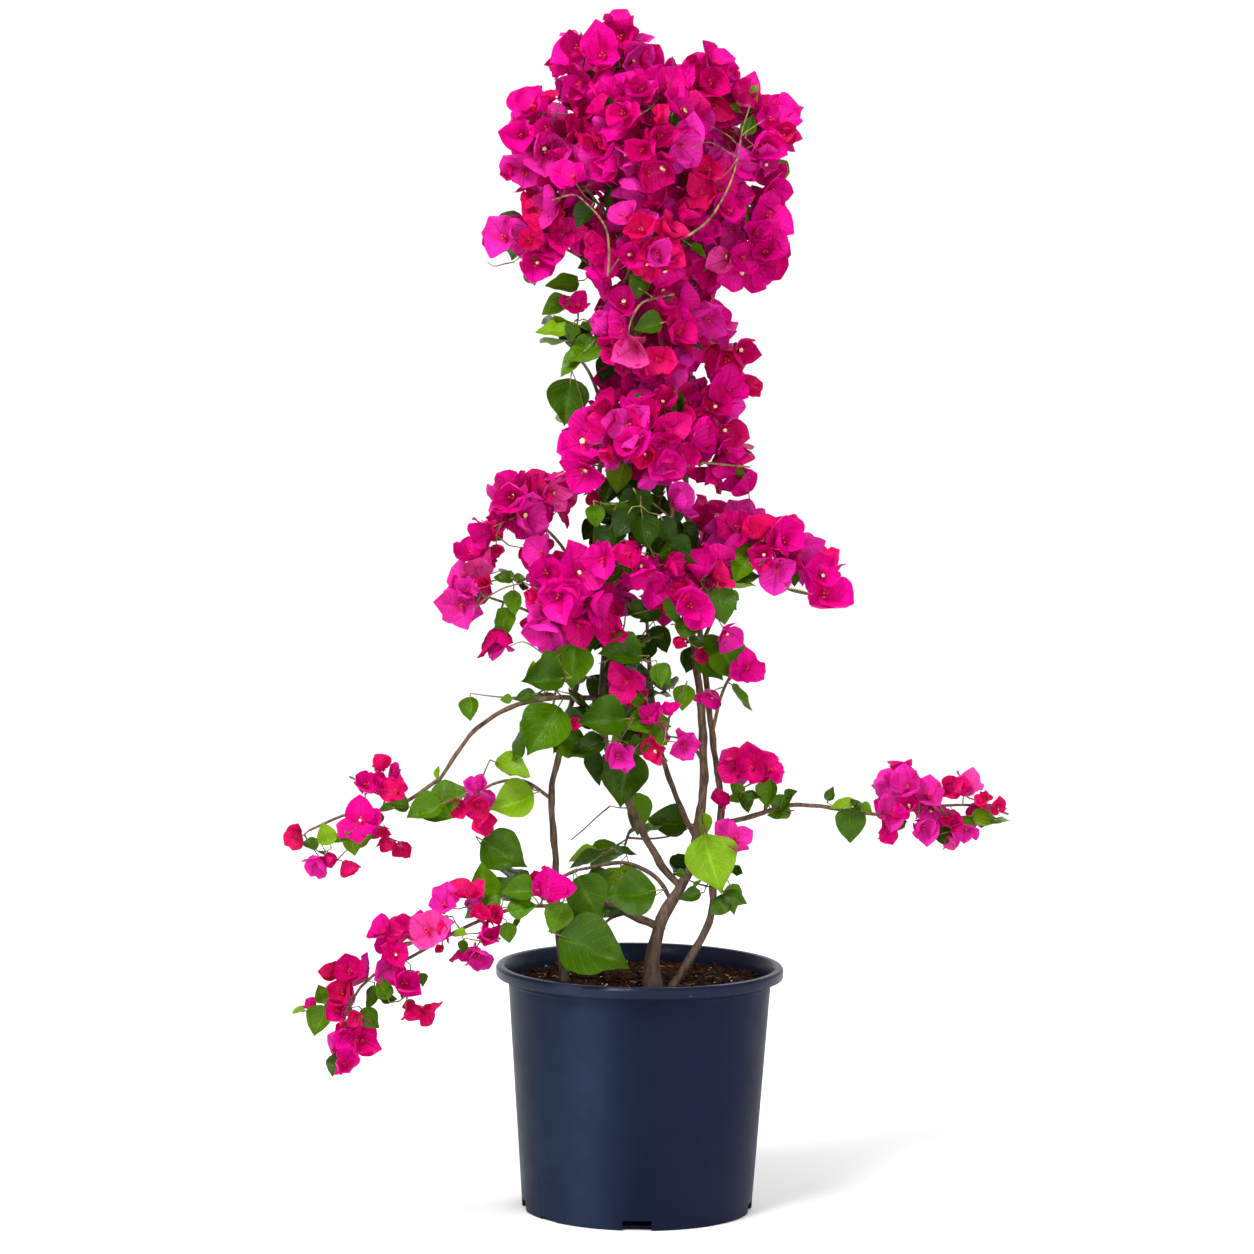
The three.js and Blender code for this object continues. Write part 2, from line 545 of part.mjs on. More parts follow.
// Grows one mass: its stem, then twigs that end in leaves, then twigs that end in blooms. A shoot that would
// leave the space, touch a limb or cut across what has grown already is tried smaller, then skipped. Any
// scrap is dropped.
function growMass(mass) {
  let grown = solidOf(taperedTube(mass.stem, mass.path ? 7 : 3, STEM_SIDES, stemRadius));
  const grow = (makeShape) => {
    for (const size of SIZES) {
      const shape = makeShape(size);
      const samples = samplesOf(shape);
      if (samples.points.some(insidePot)) continue;
      if (!keepsToItsSpace(mass, samples) || !clearsLimbs(mass, samples)) continue;
      const larger = grown.add(solidOf(shape));
      if (larger.numTri() - grown.numTri() > MOST_NEW_FACES) continue;
      grown = larger;
      return;
    }
  };
  for (const { start, tip } of shootPlan(mass, mass.leaves, LEAF_TWIG, 0.5)) {
    grow((size) => leafShoot(start, tip, size));
  }
  for (const { start, tip } of shootPlan(mass, mass.blooms, mass.path ? SPRAY_TWIG : LOBE_TWIG, 0.6)) {
    const spin = 2 * Math.PI * mass.random();
    const cup = lerp(-5, 7, mass.random());
    const lean = new THREE.Vector3(mass.random() - 0.5, mass.random() - 0.5, mass.random() - 0.5);
    lean.normalize();
    const share = mass.path ? SPRAY_BLOOM : 1;
    const tipAt = (size) => tip.clone().lerp(start, 0.35 * (1.1 - size));
    grow((size) => bloomShoot(start, tipAt(size), size * share, { cup, spin, lean }));
  }
  return largestPiece(grown.subtract(limbs.get(mass.limb).clearance).simplify(0.02));
}

function meshOf(name, solid, look) {
  const mesh = new THREE.Mesh(geometryOf(solid), new THREE.MeshStandardMaterial(look));
  mesh.name = name;
  return mesh;
}

const plant = new THREE.Group();
plant.add(meshOf('pot', makePot(), COLOURS.pot));
plant.add(meshOf('potting_soil', makeSoil(), COLOURS.soil));
limbs.forEach((limb, name) => plant.add(meshOf(name, limb.solid, COLOURS.bark)));
for (const mass of masses) {
  const look = mass.blooms > mass.leaves ? COLOURS.bracts : COLOURS.leaves;
  plant.add(meshOf(mass.name, growMass(mass), look));
}

export default plant;
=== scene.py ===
# %% [markdown]
# # Dressing a potted bougainvillea
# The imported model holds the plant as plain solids: the pot, the soil, the stems, and each mass of foliage at its
# true place and reach. This lesson gives every one of them its real surface. Lengths are in metres, and +Z is up.

# %% Load the solids
import math

import bmesh
import bpy
import numpy as np
from mathutils import Matrix, Vector


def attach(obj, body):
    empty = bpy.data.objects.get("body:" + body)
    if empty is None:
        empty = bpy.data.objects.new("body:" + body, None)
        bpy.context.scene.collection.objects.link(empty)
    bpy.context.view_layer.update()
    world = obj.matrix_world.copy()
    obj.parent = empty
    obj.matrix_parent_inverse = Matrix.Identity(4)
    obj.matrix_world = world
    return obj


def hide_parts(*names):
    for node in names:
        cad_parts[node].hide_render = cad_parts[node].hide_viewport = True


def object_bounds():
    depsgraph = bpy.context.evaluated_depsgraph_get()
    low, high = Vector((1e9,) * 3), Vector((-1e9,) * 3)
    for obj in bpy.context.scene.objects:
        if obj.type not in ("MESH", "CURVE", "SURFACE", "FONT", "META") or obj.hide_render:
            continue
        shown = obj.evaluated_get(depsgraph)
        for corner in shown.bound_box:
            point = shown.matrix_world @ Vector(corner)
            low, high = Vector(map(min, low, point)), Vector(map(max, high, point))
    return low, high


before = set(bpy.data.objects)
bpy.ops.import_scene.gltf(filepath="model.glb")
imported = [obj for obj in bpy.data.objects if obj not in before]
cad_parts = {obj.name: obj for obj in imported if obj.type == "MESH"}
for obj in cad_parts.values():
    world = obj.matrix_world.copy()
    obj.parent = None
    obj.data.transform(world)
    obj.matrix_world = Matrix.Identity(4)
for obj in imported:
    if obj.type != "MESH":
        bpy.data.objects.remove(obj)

MM = 0.001
CAD_LOW, CAD_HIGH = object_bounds()
print("solids:", len(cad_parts), "from", CAD_LOW[:], "to", CAD_HIGH[:])

# %% [markdown]
# ## Camera and studio
# The picture of the plant is taken from well back with a long lens, from a little above the plant's middle, and tilted
# down a little. A sheet that curves up behind the plant gives a floor and a wall with no edge between them.
# Large soft lamps keep the shadows as weak as in a product picture.

# %% The camera
EYE = Vector((-0.0166, -4.400, 0.958))
TILT_DOWN = math.radians(5.0)
ROLL = math.radians(0.7)
LENS_MM = 130.05
SENSOR_MM = 36

camera_data = bpy.data.cameras.new("camera")
camera_data.sensor_width = SENSOR_MM
camera_data.lens = LENS_MM
camera = bpy.data.objects.new("camera", camera_data)
bpy.context.scene.collection.objects.link(camera)
aim = Matrix.Rotation(math.pi / 2 - TILT_DOWN, 4, "X") @ Matrix.Rotation(ROLL, 4, "Z")
camera.matrix_world = Matrix.Translation(EYE) @ aim
bpy.context.scene.camera = camera
print("camera looks along", (aim @ Vector((0, 0, -1)))[:])

# %% [markdown]
# ## Modelling by hand, in a script
# Each piece is made with the same operators as in Blender's window. An operator acts on all that is selected, so a
# piece starts with nothing else selected, and its faces and edges are picked by their place or by the way they face.


# %% Helpers for modelling by hand
def start_piece(add, **settings):
    """Adds a primitive with nothing else selected, and returns it in object mode."""
    if bpy.context.mode != "OBJECT":
        bpy.ops.object.mode_set(mode="OBJECT")
    bpy.ops.object.select_all(action="DESELECT")
    add(**settings)
    return bpy.context.active_object


def select_only(piece):
    bpy.ops.object.select_all(action="DESELECT")
    piece.select_set(True)
    bpy.context.view_layer.objects.active = piece


def pick(kind, test):
    """Selects the vertices, edges or faces of the mesh in edit mode that pass a test, and nothing else."""
    bpy.ops.mesh.select_mode(type={"verts": "VERT", "edges": "EDGE", "faces": "FACE"}[kind])
    bpy.ops.mesh.select_all(action="DESELECT")
    mesh = bmesh.from_edit_mesh(bpy.context.edit_object.data)
    for element in getattr(mesh, kind):
        if test(element):
            element.select_set(True)
    mesh.select_flush_mode()
    bmesh.update_edit_mesh(bpy.context.edit_object.data)


def apply_modifier(piece, kind, **settings):
    """Adds a modifier and applies it at once."""
    modifier = piece.modifiers.new(kind.lower(), kind)
    for name, value in settings.items():
        setattr(modifier, name, value)
    bpy.context.view_layer.objects.active = piece
    bpy.ops.object.modifier_apply(modifier=modifier.name)


def settle(piece):
    """Moves a piece's place, turn and size into its mesh, so that its object lies at the origin."""
    select_only(piece)
    bpy.ops.object.transform_apply(location=True, rotation=True, scale=True)


def mount_piece(piece, name, material, slot, *nodes):
    """Names a finished piece, paints it, and lets it stand for its solids."""
    piece.name = piece.data.name = name
    piece.data.materials.clear()
    piece.data.materials.append(material)
    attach(piece, "root")
    if nodes:
        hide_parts(*nodes)
    print(name, len(piece.data.polygons), "faces")


# %% [markdown]
# ## Shader sums as plain Python
# A finish is a network of nodes. To read like a recipe, a node's output is wrapped so that + - * / add the Math nodes,
# and one method makes any other node from its type, its settings and what its sockets hold.


# %% Wires and recipes
class Wire:
    """An output socket that takes part in sums."""

    def __init__(self, recipe, socket):
        self.recipe = recipe
        self.socket = socket

    def __add__(self, other):
        return self.recipe.maths("ADD", self, other)

    def __radd__(self, other):
        return self.recipe.maths("ADD", other, self)

    def __sub__(self, other):
        return self.recipe.maths("SUBTRACT", self, other)

    def __rsub__(self, other):
        return self.recipe.maths("SUBTRACT", other, self)

    def __mul__(self, other):
        return self.recipe.maths("MULTIPLY", self, other)

    def __truediv__(self, other):
        return self.recipe.maths("DIVIDE", self, other)


class Recipe:
    """A material that is written as steps."""

    def __init__(self, name):
        self.material = bpy.data.materials.new(name)
        self.material.use_nodes = True
        self.tree = self.material.node_tree
        self.tree.nodes.clear()

    def node(self, kind, settings=None, inputs=None):
        """Any node, from its type, its settings, and the values or wires of its inputs."""
        made = self.tree.nodes.new(kind)
        for name, value in (settings or {}).items():
            setattr(made, name, value)
        for name, value in (inputs or {}).items():
            if isinstance(value, Wire):
                self.tree.links.new(value.socket, made.inputs[name])
            elif made.inputs[name].type == "RGBA":
                made.inputs[name].default_value = (*value, 1)
            else:
                made.inputs[name].default_value = value
        return made

    def wire(self, node, output=0):
        return Wire(self, node.outputs[output])

    def maths(self, operation, *values):
        """The result of one Math node."""
        return self.wire(self.node("ShaderNodeMath", {"operation": operation}, dict(enumerate(values))))

    def place(self, space="Object"):
        return self.wire(self.node("ShaderNodeTexCoord"), space)

    def part(self, vector, axis):
        """One of the three numbers of a vector."""
        return self.wire(self.node("ShaderNodeSeparateXYZ", None, {"Vector": vector}), axis)

    def noise(self, vector, scale, detail, stretch=(1, 1, 1)):
        moved = self.node("ShaderNodeMapping", None, {"Vector": vector, "Scale": stretch})
        made = self.node("ShaderNodeTexNoise", None,
                         {"Vector": self.wire(moved), "Scale": scale, "Detail": detail})
        return self.wire(made)

    def ramp(self, factor, low, high):
        made = self.node("ShaderNodeMapRange", None, {"Value": factor, "From Min": low, "From Max": high})
        return self.wire(made)

    def blend(self, factor, first, second):
        """A mix of two colours. The colour sockets of a Mix node are its inputs 6 and 7 and its output 2."""
        inputs = {0: factor, 6: first, 7: second}
        return self.wire(self.node("ShaderNodeMix", {"data_type": "RGBA"}, inputs), 2)

    def bump(self, height, distance, strength):
        inputs = {"Height": height, "Distance": distance, "Strength": strength}
        return self.wire(self.node("ShaderNodeBump", None, inputs))

    def surface(self, translucent=0.0, **inputs):
        """Ends the recipe in a Principled shader, mixed with light from behind where the real thing is thin."""
        named = {name.replace("_", " "): value for name, value in inputs.items()}
        shader = self.wire(self.node("ShaderNodeBsdfPrincipled", None, named))
        if translucent:
            through = self.wire(self.node("ShaderNodeBsdfTranslucent", None, {"Color": inputs["Base_Color"]}))
            mix = self.node("ShaderNodeMixShader", None, {0: translucent, 1: shader, 2: through})
            shader = self.wire(mix)
        self.node("ShaderNodeOutputMaterial", None, {"Surface": shader})
        return self.material


def tint(red, green, blue):
    """A colour from 0 to 255 as the eye sees it, as the amounts of light that a shader takes."""
    return tuple((c / 255 / 12.92) if c < 11 else ((c / 255 + 0.055) / 1.055) ** 2.4 for c in (red, green, blue))


def scaled(colour, share):
    """A darker or lighter form of a colour."""
    return tuple(share * c for c in colour)


# %% [markdown]
# ## The floor and the lamps
# The sheet is a plane whose back edge is pulled up, with a wide bevel along the fold. It isn't attached to the plant's
# body, so it is part of the picture and not of the plant.

# %% Model the paper sheet
FLOOR_REACH = 9.0
WALL_AT = 5.4
FOLD_WIDTH = 1.6

paper = start_piece(bpy.ops.mesh.primitive_plane_add, size=2 * FLOOR_REACH)
bpy.ops.object.mode_set(mode="EDIT")
pick("edges", lambda e: all(v.co.y > 0 for v in e.verts))
bpy.ops.transform.translate(value=(0, WALL_AT - FLOOR_REACH, 0))
bpy.ops.mesh.extrude_region_move(TRANSFORM_OT_translate={"value": (0, 0, FLOOR_REACH)})
bpy.ops.object.mode_set(mode="OBJECT")
apply_modifier(paper, "BEVEL", width=FOLD_WIDTH, segments=16, limit_method="ANGLE")
bpy.ops.object.shade_smooth()
settle(paper)
paper.name = "studio_paper"
white = Recipe("studio_white").surface(Base_Color=(0.9, 0.9, 0.9), Roughness=0.9)
paper.data.materials.append(white)

# %% [markdown]
# Each lamp is a soft square that faces a point: its place, that point, its side and its power. The key light comes from
# the upper left, a wide one fills from the front, one lifts the plant's edges from behind, and one lights the wall.

# %% Lamps and the light of the air
PLANT_MIDDLE = (0, 0, 0.6)
WALL_FOOT = (0, 5.0, 0.3)
LAMPS = {
    "key_lamp": ((-1.6, -2.1, 3.5), PLANT_MIDDLE, 1.7, 215),
    "fill_lamp": ((1.2, -3.8, 1.2), PLANT_MIDDLE, 2.2, 85),
    "back_lamp": ((1.2, 2.2, 2.8), PLANT_MIDDLE, 1.6, 45),
    "wall_lamp": ((0, 3.0, 4.2), WALL_FOOT, 2.4, 50),
}
AIR_LIGHT = 0.45

for name, (place, target, side, power) in LAMPS.items():
    light = bpy.data.lights.new(name, "AREA")
    light.size = side
    light.energy = power
    lamp = bpy.data.objects.new(name, light)
    bpy.context.scene.collection.objects.link(lamp)
    lamp.location = place
    lamp.rotation_euler = (Vector(target) - Vector(place)).to_track_quat("-Z", "Y").to_euler()

world = bpy.data.worlds.new("studio_air")
world.use_nodes = True
air = world.node_tree.nodes["Background"].inputs
air["Color"].default_value = (1, 1, 1, 1)
air["Strength"].default_value = AIR_LIGHT
bpy.context.scene.world = world
bpy.context.scene.view_settings.view_transform = "Standard"
print("lamps:", ", ".join(LAMPS))

# %% [markdown]
# ## The pot
# A nursery pot is blow-moulded: one thin shell with a broad rolled rim, a narrower stacking neck under it and drain
# slots through its foot. It could be turned from a profile, but it is modelled here as it is formed: from a disc, whose
# face is pulled up ring by ring, stepped out for the rim, and pushed back down inside.

# %% Model the pot
POT_HEIGHT = 241 * MM
RIM_RADIUS = 141 * MM
RIM_FOOT = POT_HEIGHT - 11 * MM
NECK_FOOT = RIM_FOOT - 7 * MM
NECK_RADIUS = 131.5 * MM
SHOULDER_RADIUS = 128.6 * MM
FOOT_RADIUS = 113 * MM
WALL = 2.4 * MM
POT_FLOOR = 3.5 * MM
SLOT_WIDTH = 28 * MM
SLOT_HEIGHT = 10 * MM
SLOT_DEPTH = 9 * MM
SLOT_DEGREES = (-90, -10, 90, 190)
SHALLOW_NOTCH = (-140, 24 * MM, 3 * MM)
SLOT_TAPER = 0.8
SLOT_BELOW = 2 * MM
LIP = 1.2 * MM
EDGE_ROUND = 0.5 * MM


def raise_rings(rings, height, radius):
    """Pulls the selected face of a round shape on through rings of (height, radius)."""
    for next_height, next_radius in rings:
        bpy.ops.mesh.extrude_region_move(TRANSFORM_OT_translate={"value": (0, 0, next_height - height)})
        share = next_radius / radius
        bpy.ops.transform.resize(value=(share, share, 1), center_override=(0, 0, next_height))
        height, radius = next_height, next_radius


pot = start_piece(bpy.ops.mesh.primitive_circle_add, vertices=128, radius=FOOT_RADIUS - LIP, fill_type="NGON")
bpy.ops.object.mode_set(mode="EDIT")
bpy.ops.mesh.select_all(action="SELECT")
raise_rings([
    (LIP, FOOT_RADIUS),
    (0.5 * NECK_FOOT, 0.5 * (FOOT_RADIUS + SHOULDER_RADIUS)),
    (NECK_FOOT, SHOULDER_RADIUS),
    (NECK_FOOT + 2 * MM, NECK_RADIUS),
    (RIM_FOOT, NECK_RADIUS),
    (RIM_FOOT, RIM_RADIUS - 0.6 * MM),
    (RIM_FOOT + 1.2 * MM, RIM_RADIUS),
    (POT_HEIGHT - 3 * MM, RIM_RADIUS),
    (POT_HEIGHT - 0.6 * MM, RIM_RADIUS - 1.6 * MM),
    (POT_HEIGHT, RIM_RADIUS - 4 * MM),
    (POT_HEIGHT - 0.6 * MM, NECK_RADIUS + 2.2 * MM),
    (POT_HEIGHT - 4 * MM, NECK_RADIUS - 0.4 * MM),
    (RIM_FOOT, NECK_RADIUS - WALL),
    (NECK_FOOT, SHOULDER_RADIUS - WALL),
    (POT_FLOOR, FOOT_RADIUS - WALL),
], 0, FOOT_RADIUS - LIP)
bpy.ops.mesh.select_all(action="SELECT")
bpy.ops.mesh.normals_make_consistent(inside=False)
bpy.ops.object.mode_set(mode="OBJECT")
slots = [(degrees, SLOT_WIDTH, SLOT_HEIGHT) for degrees in SLOT_DEGREES]
for degrees, width, tall in (*slots, SHALLOW_NOTCH):
    turn = math.radians(degrees)
    out = Vector((math.cos(turn), math.sin(turn), 0))
    cutter = start_piece(bpy.ops.mesh.primitive_cube_add, size=1, rotation=(0, 0, turn),
                         location=out * FOOT_RADIUS + Vector((0, 0, tall / 2 - SLOT_BELOW / 2)),
                         scale=(2 * SLOT_DEPTH, width, tall + SLOT_BELOW))
    bpy.ops.object.mode_set(mode="EDIT")
    pick("faces", lambda f: f.normal.z > 0.9)
    bpy.ops.transform.resize(value=(1, SLOT_TAPER, 1), center_override=cutter.location)
    bpy.ops.object.mode_set(mode="OBJECT")
    apply_modifier(pot, "BOOLEAN", object=cutter, operation="DIFFERENCE", solver="EXACT")
    bpy.data.objects.remove(cutter)
apply_modifier(pot, "BEVEL", width=EDGE_ROUND, segments=2, limit_method="ANGLE", angle_limit=math.radians(40))
select_only(pot)
bpy.ops.object.shade_smooth_by_angle(angle=math.radians(32))

# %% [markdown]
# The plastic is a dark navy with a soft sheen. Its blue drifts across the pot from slate on the key lamp's side to plum
# on the other: partly the plastic's own hue, partly painted light. One upright band is paler, a painted highlight, and
# the next is darker, painted shade. A moulded wall isn't perfectly even: the gloss is cloudy, and fine flow lines run
# round it. Hands and the next pot of a stack polish the rim, and rim and foot have small pale scuffs.

# %% Paint the pot
NAVY = tint(10, 17, 36)
# Slate on the key lamp's side and plum on the other: partly the plastic's hue, partly painted light.
LIT_SLATE = tint(24, 38, 60)
SHADED_PLUM = tint(24, 25, 52)
PAINTED_HIGHLIGHT_BLUE = tint(66, 80, 104)
SCUFFED = tint(120, 128, 150)
# A painted highlight: a paler upright band left of the middle.
PAINTED_HIGHLIGHT_AT, PAINTED_HIGHLIGHT_HALF = -50 * MM, 30 * MM
# Painted shade: a darker upright band just right of the middle.
PAINTED_SHADE_AT, PAINTED_SHADE_HALF = 8 * MM, 34 * MM


def upright_band(across, at, half):
    """A soft bell across the pot: 1 at its middle, and faint beyond its half width."""
    off = (across - at) / half
    return across.recipe.maths("EXPONENT", off * off * -1.0)


recipe = Recipe("navy_plastic")
where = recipe.place()
drift = recipe.noise(where, 4.0, 1.0, (1, 1, 0.25))
cloud = recipe.noise(where, 40.0, 4.0)
flow = recipe.noise(where, 9.0, 2.0, (1, 1, 30))
grit = recipe.noise(where, 900.0, 2.0)
across, height = recipe.part(where, "X"), recipe.part(where, "Z")
worn = recipe.ramp(height, RIM_FOOT - 2 * MM, RIM_FOOT) + (1 - recipe.ramp(height, 2 * MM, 6 * MM))
scuff = recipe.ramp(recipe.noise(where, 130.0, 6.0, (1, 1, 3)), 0.66, 0.76) * worn
# Slate on the key lamp's side, plum on the other: partly hue, partly painted light.
blue = recipe.blend(recipe.ramp(across + (drift - 0.5) * 0.1, -0.10, 0.10), LIT_SLATE, SHADED_PLUM)
# A painted highlight in one upright band.
blue = recipe.blend(upright_band(across, PAINTED_HIGHLIGHT_AT, PAINTED_HIGHLIGHT_HALF) * 0.26, blue, PAINTED_HIGHLIGHT_BLUE)
# Painted shade in the next upright band.
blue = recipe.blend(upright_band(across, PAINTED_SHADE_AT, PAINTED_SHADE_HALF) * 0.62, blue, NAVY)
blue = recipe.blend(recipe.ramp(cloud, 0.2, 0.8) * 0.3 + 0.3, blue, NAVY)
blue = recipe.blend(scuff * 0.35, blue, SCUFFED)
relief = recipe.bump(flow * 0.7 + grit * 0.3, 0.25 * MM, 0.35)
polish = recipe.ramp(height, RIM_FOOT - 1 * MM, RIM_FOOT + 1 * MM) * 0.3
navy_plastic = recipe.surface(Base_Color=blue, Roughness=0.34 + cloud * 0.14 + scuff * 0.2, Normal=relief,
                              IOR=1.13, Coat_Weight=polish, Coat_Roughness=0.22, Coat_IOR=1.35)
mount_piece(pot, "nursery_pot", navy_plastic, "pot", "pot")

# %% [markdown]
# ## The potting mix
# The mix is dark, damp and crumbly, and fills the pot to a finger's width below the rim. A solid plug gets a finely
# divided top, which clouds of noise in three sizes push into lumps and crumbs. Its finish mixes two browns by the same
# kind of lumps and crumbs, with hardly any gloss. Bark chips, white perlite and dry straws are scattered on it later.

# %% Model the plug of soil
SOIL_FOOT = 4 * MM
SOIL_EDGE = 225 * MM
SOIL_CROWN = 229 * MM
SOIL_RADIUS = 125.2 * MM
SOIL_FOOT_RADIUS = FOOT_RADIUS - WALL - 16 * MM
SOIL_RINGS = 44
LUMPS = ((22 * MM, 5 * MM), (6 * MM, 3.5 * MM), (2.2 * MM, 2.2 * MM))

soil = start_piece(bpy.ops.mesh.primitive_cylinder_add, vertices=144, radius=SOIL_RADIUS, depth=SOIL_EDGE - SOIL_FOOT,
                   location=(0, 0, (SOIL_EDGE + SOIL_FOOT) / 2))
settle(soil)
bpy.ops.object.mode_set(mode="EDIT")
pick("faces", lambda f: f.normal.z < -0.9)
narrow = SOIL_FOOT_RADIUS / SOIL_RADIUS
bpy.ops.transform.resize(value=(narrow, narrow, 1), center_override=(0, 0, 0))
pick("faces", lambda f: f.normal.z > 0.9)
for ring in range(SOIL_RINGS):
    bpy.ops.mesh.inset(thickness=SOIL_RADIUS / (SOIL_RINGS + 1.5))
    bpy.ops.transform.translate(value=(0, 0, (SOIL_CROWN - SOIL_EDGE) / SOIL_RINGS))
bpy.ops.object.mode_set(mode="OBJECT")
top = soil.vertex_groups.new(name="top")
top.add([v.index for v in soil.data.vertices if v.co.z > SOIL_EDGE - 1 * MM], 1.0, "REPLACE")
for grain, push in LUMPS:
    lumps = bpy.data.textures.new("lumps", "CLOUDS")
    lumps.noise_scale = grain
    lumps.noise_depth = 2
    apply_modifier(soil, "DISPLACE", texture=lumps, strength=push, mid_level=0.62, direction="Z",
                   texture_coords="LOCAL", vertex_group="top")
bpy.ops.object.shade_smooth()


# %% Paint the soil, its chips and its perlite
def earth(name, dark, light, rough=0.95):
    """A crumbly finish between two browns."""
    recipe = Recipe(name)
    where = recipe.place()
    lumps = recipe.noise(where, 90.0, 6.0)
    crumbs = recipe.noise(where, 420.0, 4.0)
    colour = recipe.blend(recipe.ramp(lumps * 0.6 + crumbs * 0.4, 0.38, 0.66), dark, light)
    relief = recipe.bump(crumbs, 0.6 * MM, 0.8)
    return recipe.surface(Base_Color=colour, Roughness=rough, Normal=relief, Specular_IOR_Level=0.05)


wet_earth = earth("wet_earth", tint(5, 3, 2), tint(34, 19, 10))
mount_piece(soil, "potting_mix", wet_earth, "soil", "potting_soil")

# %% [markdown]
# ## Many small things as one mesh
# Hundreds of chips, leaves and bracts would be slow as separate objects. Each is modelled once by hand and read into
# arrays. A heap then gathers turned and scaled copies of those arrays, and ends as one joined mesh.


# %% Shapes and heaps
UP = np.array((0.0, 0.0, 1.0))


def as_shape(piece, map_height=False):
    """Reads a modelled piece into arrays and removes it. The map is its own, or runs up its height."""
    mesh = piece.data
    points = np.array([v.co for v in mesh.vertices])
    faces = [tuple(p.vertices) for p in mesh.polygons]
    if map_height:
        spots = np.array([(0.5, mesh.vertices[loop.vertex_index].co.z) for loop in mesh.loops])
    else:
        spots = np.array([d.uv for d in mesh.uv_layers.active.data])
    bpy.data.objects.remove(piece)
    return points, faces, spots


class Heap:
    """Copies of small shapes, gathered to be one mesh."""

    def __init__(self):
        self.points, self.faces, self.spots, self.tones = [], [], [], []
        self.count, self.copies = 0, 0

    def add(self, shape, axes, place, size, tone=0.5):
        """Adds a copy whose X, Y and Z run along the columns of axes."""
        points, faces, spots = shape
        self.points.append((points * size) @ np.asarray(axes).T + place)
        self.faces.extend(tuple(i + self.count for i in face) for face in faces)
        self.spots.append(spots)
        self.tones.append(np.full(len(points), tone))
        self.count += len(points)
        self.copies += 1

    def joined(self, smooth=True):
        """One object from all the copies, with a tone for each that a finish can read."""
        mesh = bpy.data.meshes.new("joined")
        mesh.from_pydata(np.concatenate(self.points), [], self.faces)
        mesh.uv_layers.new(name="spots").data.foreach_set("uv", np.concatenate(self.spots).ravel())
        mesh.attributes.new("tone", "FLOAT", "POINT").data.foreach_set("value", np.concatenate(self.tones))
        mesh.polygons.foreach_set("use_smooth", [smooth] * len(self.faces))
        piece = bpy.data.objects.new("joined", mesh)
        bpy.context.scene.collection.objects.link(piece)
        return piece


def unit(vector):
    """A direction of length 1."""
    return vector / max(np.linalg.norm(vector), 1e-12)


def axes_from(along, facing):
    """The turn whose Y runs along a direction, and whose Z is as near to another as it can be."""
    y = unit(along)
    z = facing - y * np.dot(facing, y)
    if np.linalg.norm(z) < 1e-6:
        z = np.cross(y, (0.3, 0.5, 0.8))
    z = unit(z)
    return np.column_stack([np.cross(y, z), y, z])


def random_way(rng):
    return unit(rng.normal(size=3))


# %% [markdown]
# A chip is a block that is skewed and pinched at its ends. Perlite is a coarse ball. Both lie in the surface that is
# under them, whose height is read from the soil's own mesh, with the middle a tenth of their size above it.

# %% Scatter chips and perlite
CHIPS, GRAINS = 900, 120
LIES_ABOVE = 0.1
SOIL_MARGIN = 4 * MM


def model_chip():
    chip = start_piece(bpy.ops.mesh.primitive_cube_add, size=1, scale=(0.5, 1, 0.22))
    settle(chip)
    bpy.ops.object.mode_set(mode="EDIT")
    pick("faces", lambda f: f.normal.y > 0.9)
    bpy.ops.transform.resize(value=(0.5, 1, 0.6))
    bpy.ops.transform.translate(value=(0.12, 0.1, 0.08))
    pick("faces", lambda f: f.normal.z > 0.7)
    bpy.ops.transform.resize(value=(0.7, 0.85, 1))
    bpy.ops.object.mode_set(mode="OBJECT")
    apply_modifier(chip, "BEVEL", width=0.06, segments=1)
    return as_shape(chip)


def model_grain():
    grain = start_piece(bpy.ops.mesh.primitive_ico_sphere_add, subdivisions=2, radius=0.5)
    bpy.ops.object.mode_set(mode="EDIT")
    pick("verts", lambda v: v.co.x + v.co.y > 0.3)
    bpy.ops.transform.translate(value=(-0.1, -0.05, 0.04))
    bpy.ops.object.mode_set(mode="OBJECT")
    return as_shape(grain)


top_places = np.array([v.co for v in soil.data.vertices if v.co.z > SOIL_EDGE - SOIL_MARGIN])


def soil_height(x, y):
    return top_places[np.argmin((top_places[:, 0] - x) ** 2 + (top_places[:, 1] - y) ** 2), 2]


def scatter(shape, count, low, high, seed):
    """Copies of a shape lying at random on the soil. Each lies flat, more or less, and small ones are commoner."""
    rng = np.random.default_rng(seed)
    heap = Heap()
    for _ in range(count):
        radius = (SOIL_RADIUS - SOIL_MARGIN) * math.sqrt(rng.random())
        angle = 2 * math.pi * rng.random()
        x, y = radius * math.cos(angle), radius * math.sin(angle)
        size = low + (high - low) * rng.random() ** 2
        flat = axes_from(random_way(rng) * (1, 1, 0.35), UP + 0.3 * random_way(rng))
        heap.add(shape, flat, (x, y, soil_height(x, y) + size * LIES_ABOVE), size)
    return heap.joined(smooth=False)


chip_bark = earth("chip_bark", tint(10, 5, 3), tint(66, 36, 16), 0.9)
perlite_white = earth("perlite_white", tint(176, 166, 150), tint(225, 220, 208), 0.9)
mount_piece(scatter(model_chip(), CHIPS, 4 * MM, 13 * MM, 5), "bark_chips", chip_bark, "soil")
mount_piece(scatter(model_grain(), GRAINS, 1 * MM, 3 * MM, 6), "perlite_grains", perlite_white, "soil")

# %% [markdown]
# ## The lines of the plant
# Everything that grows follows a smooth line through a few points. These are the same lines as in the solids: a
# centripetal Catmull-Rom curve, which never loops or overshoots. A limb with a parent starts inside it, at a share of
# the parent's length.


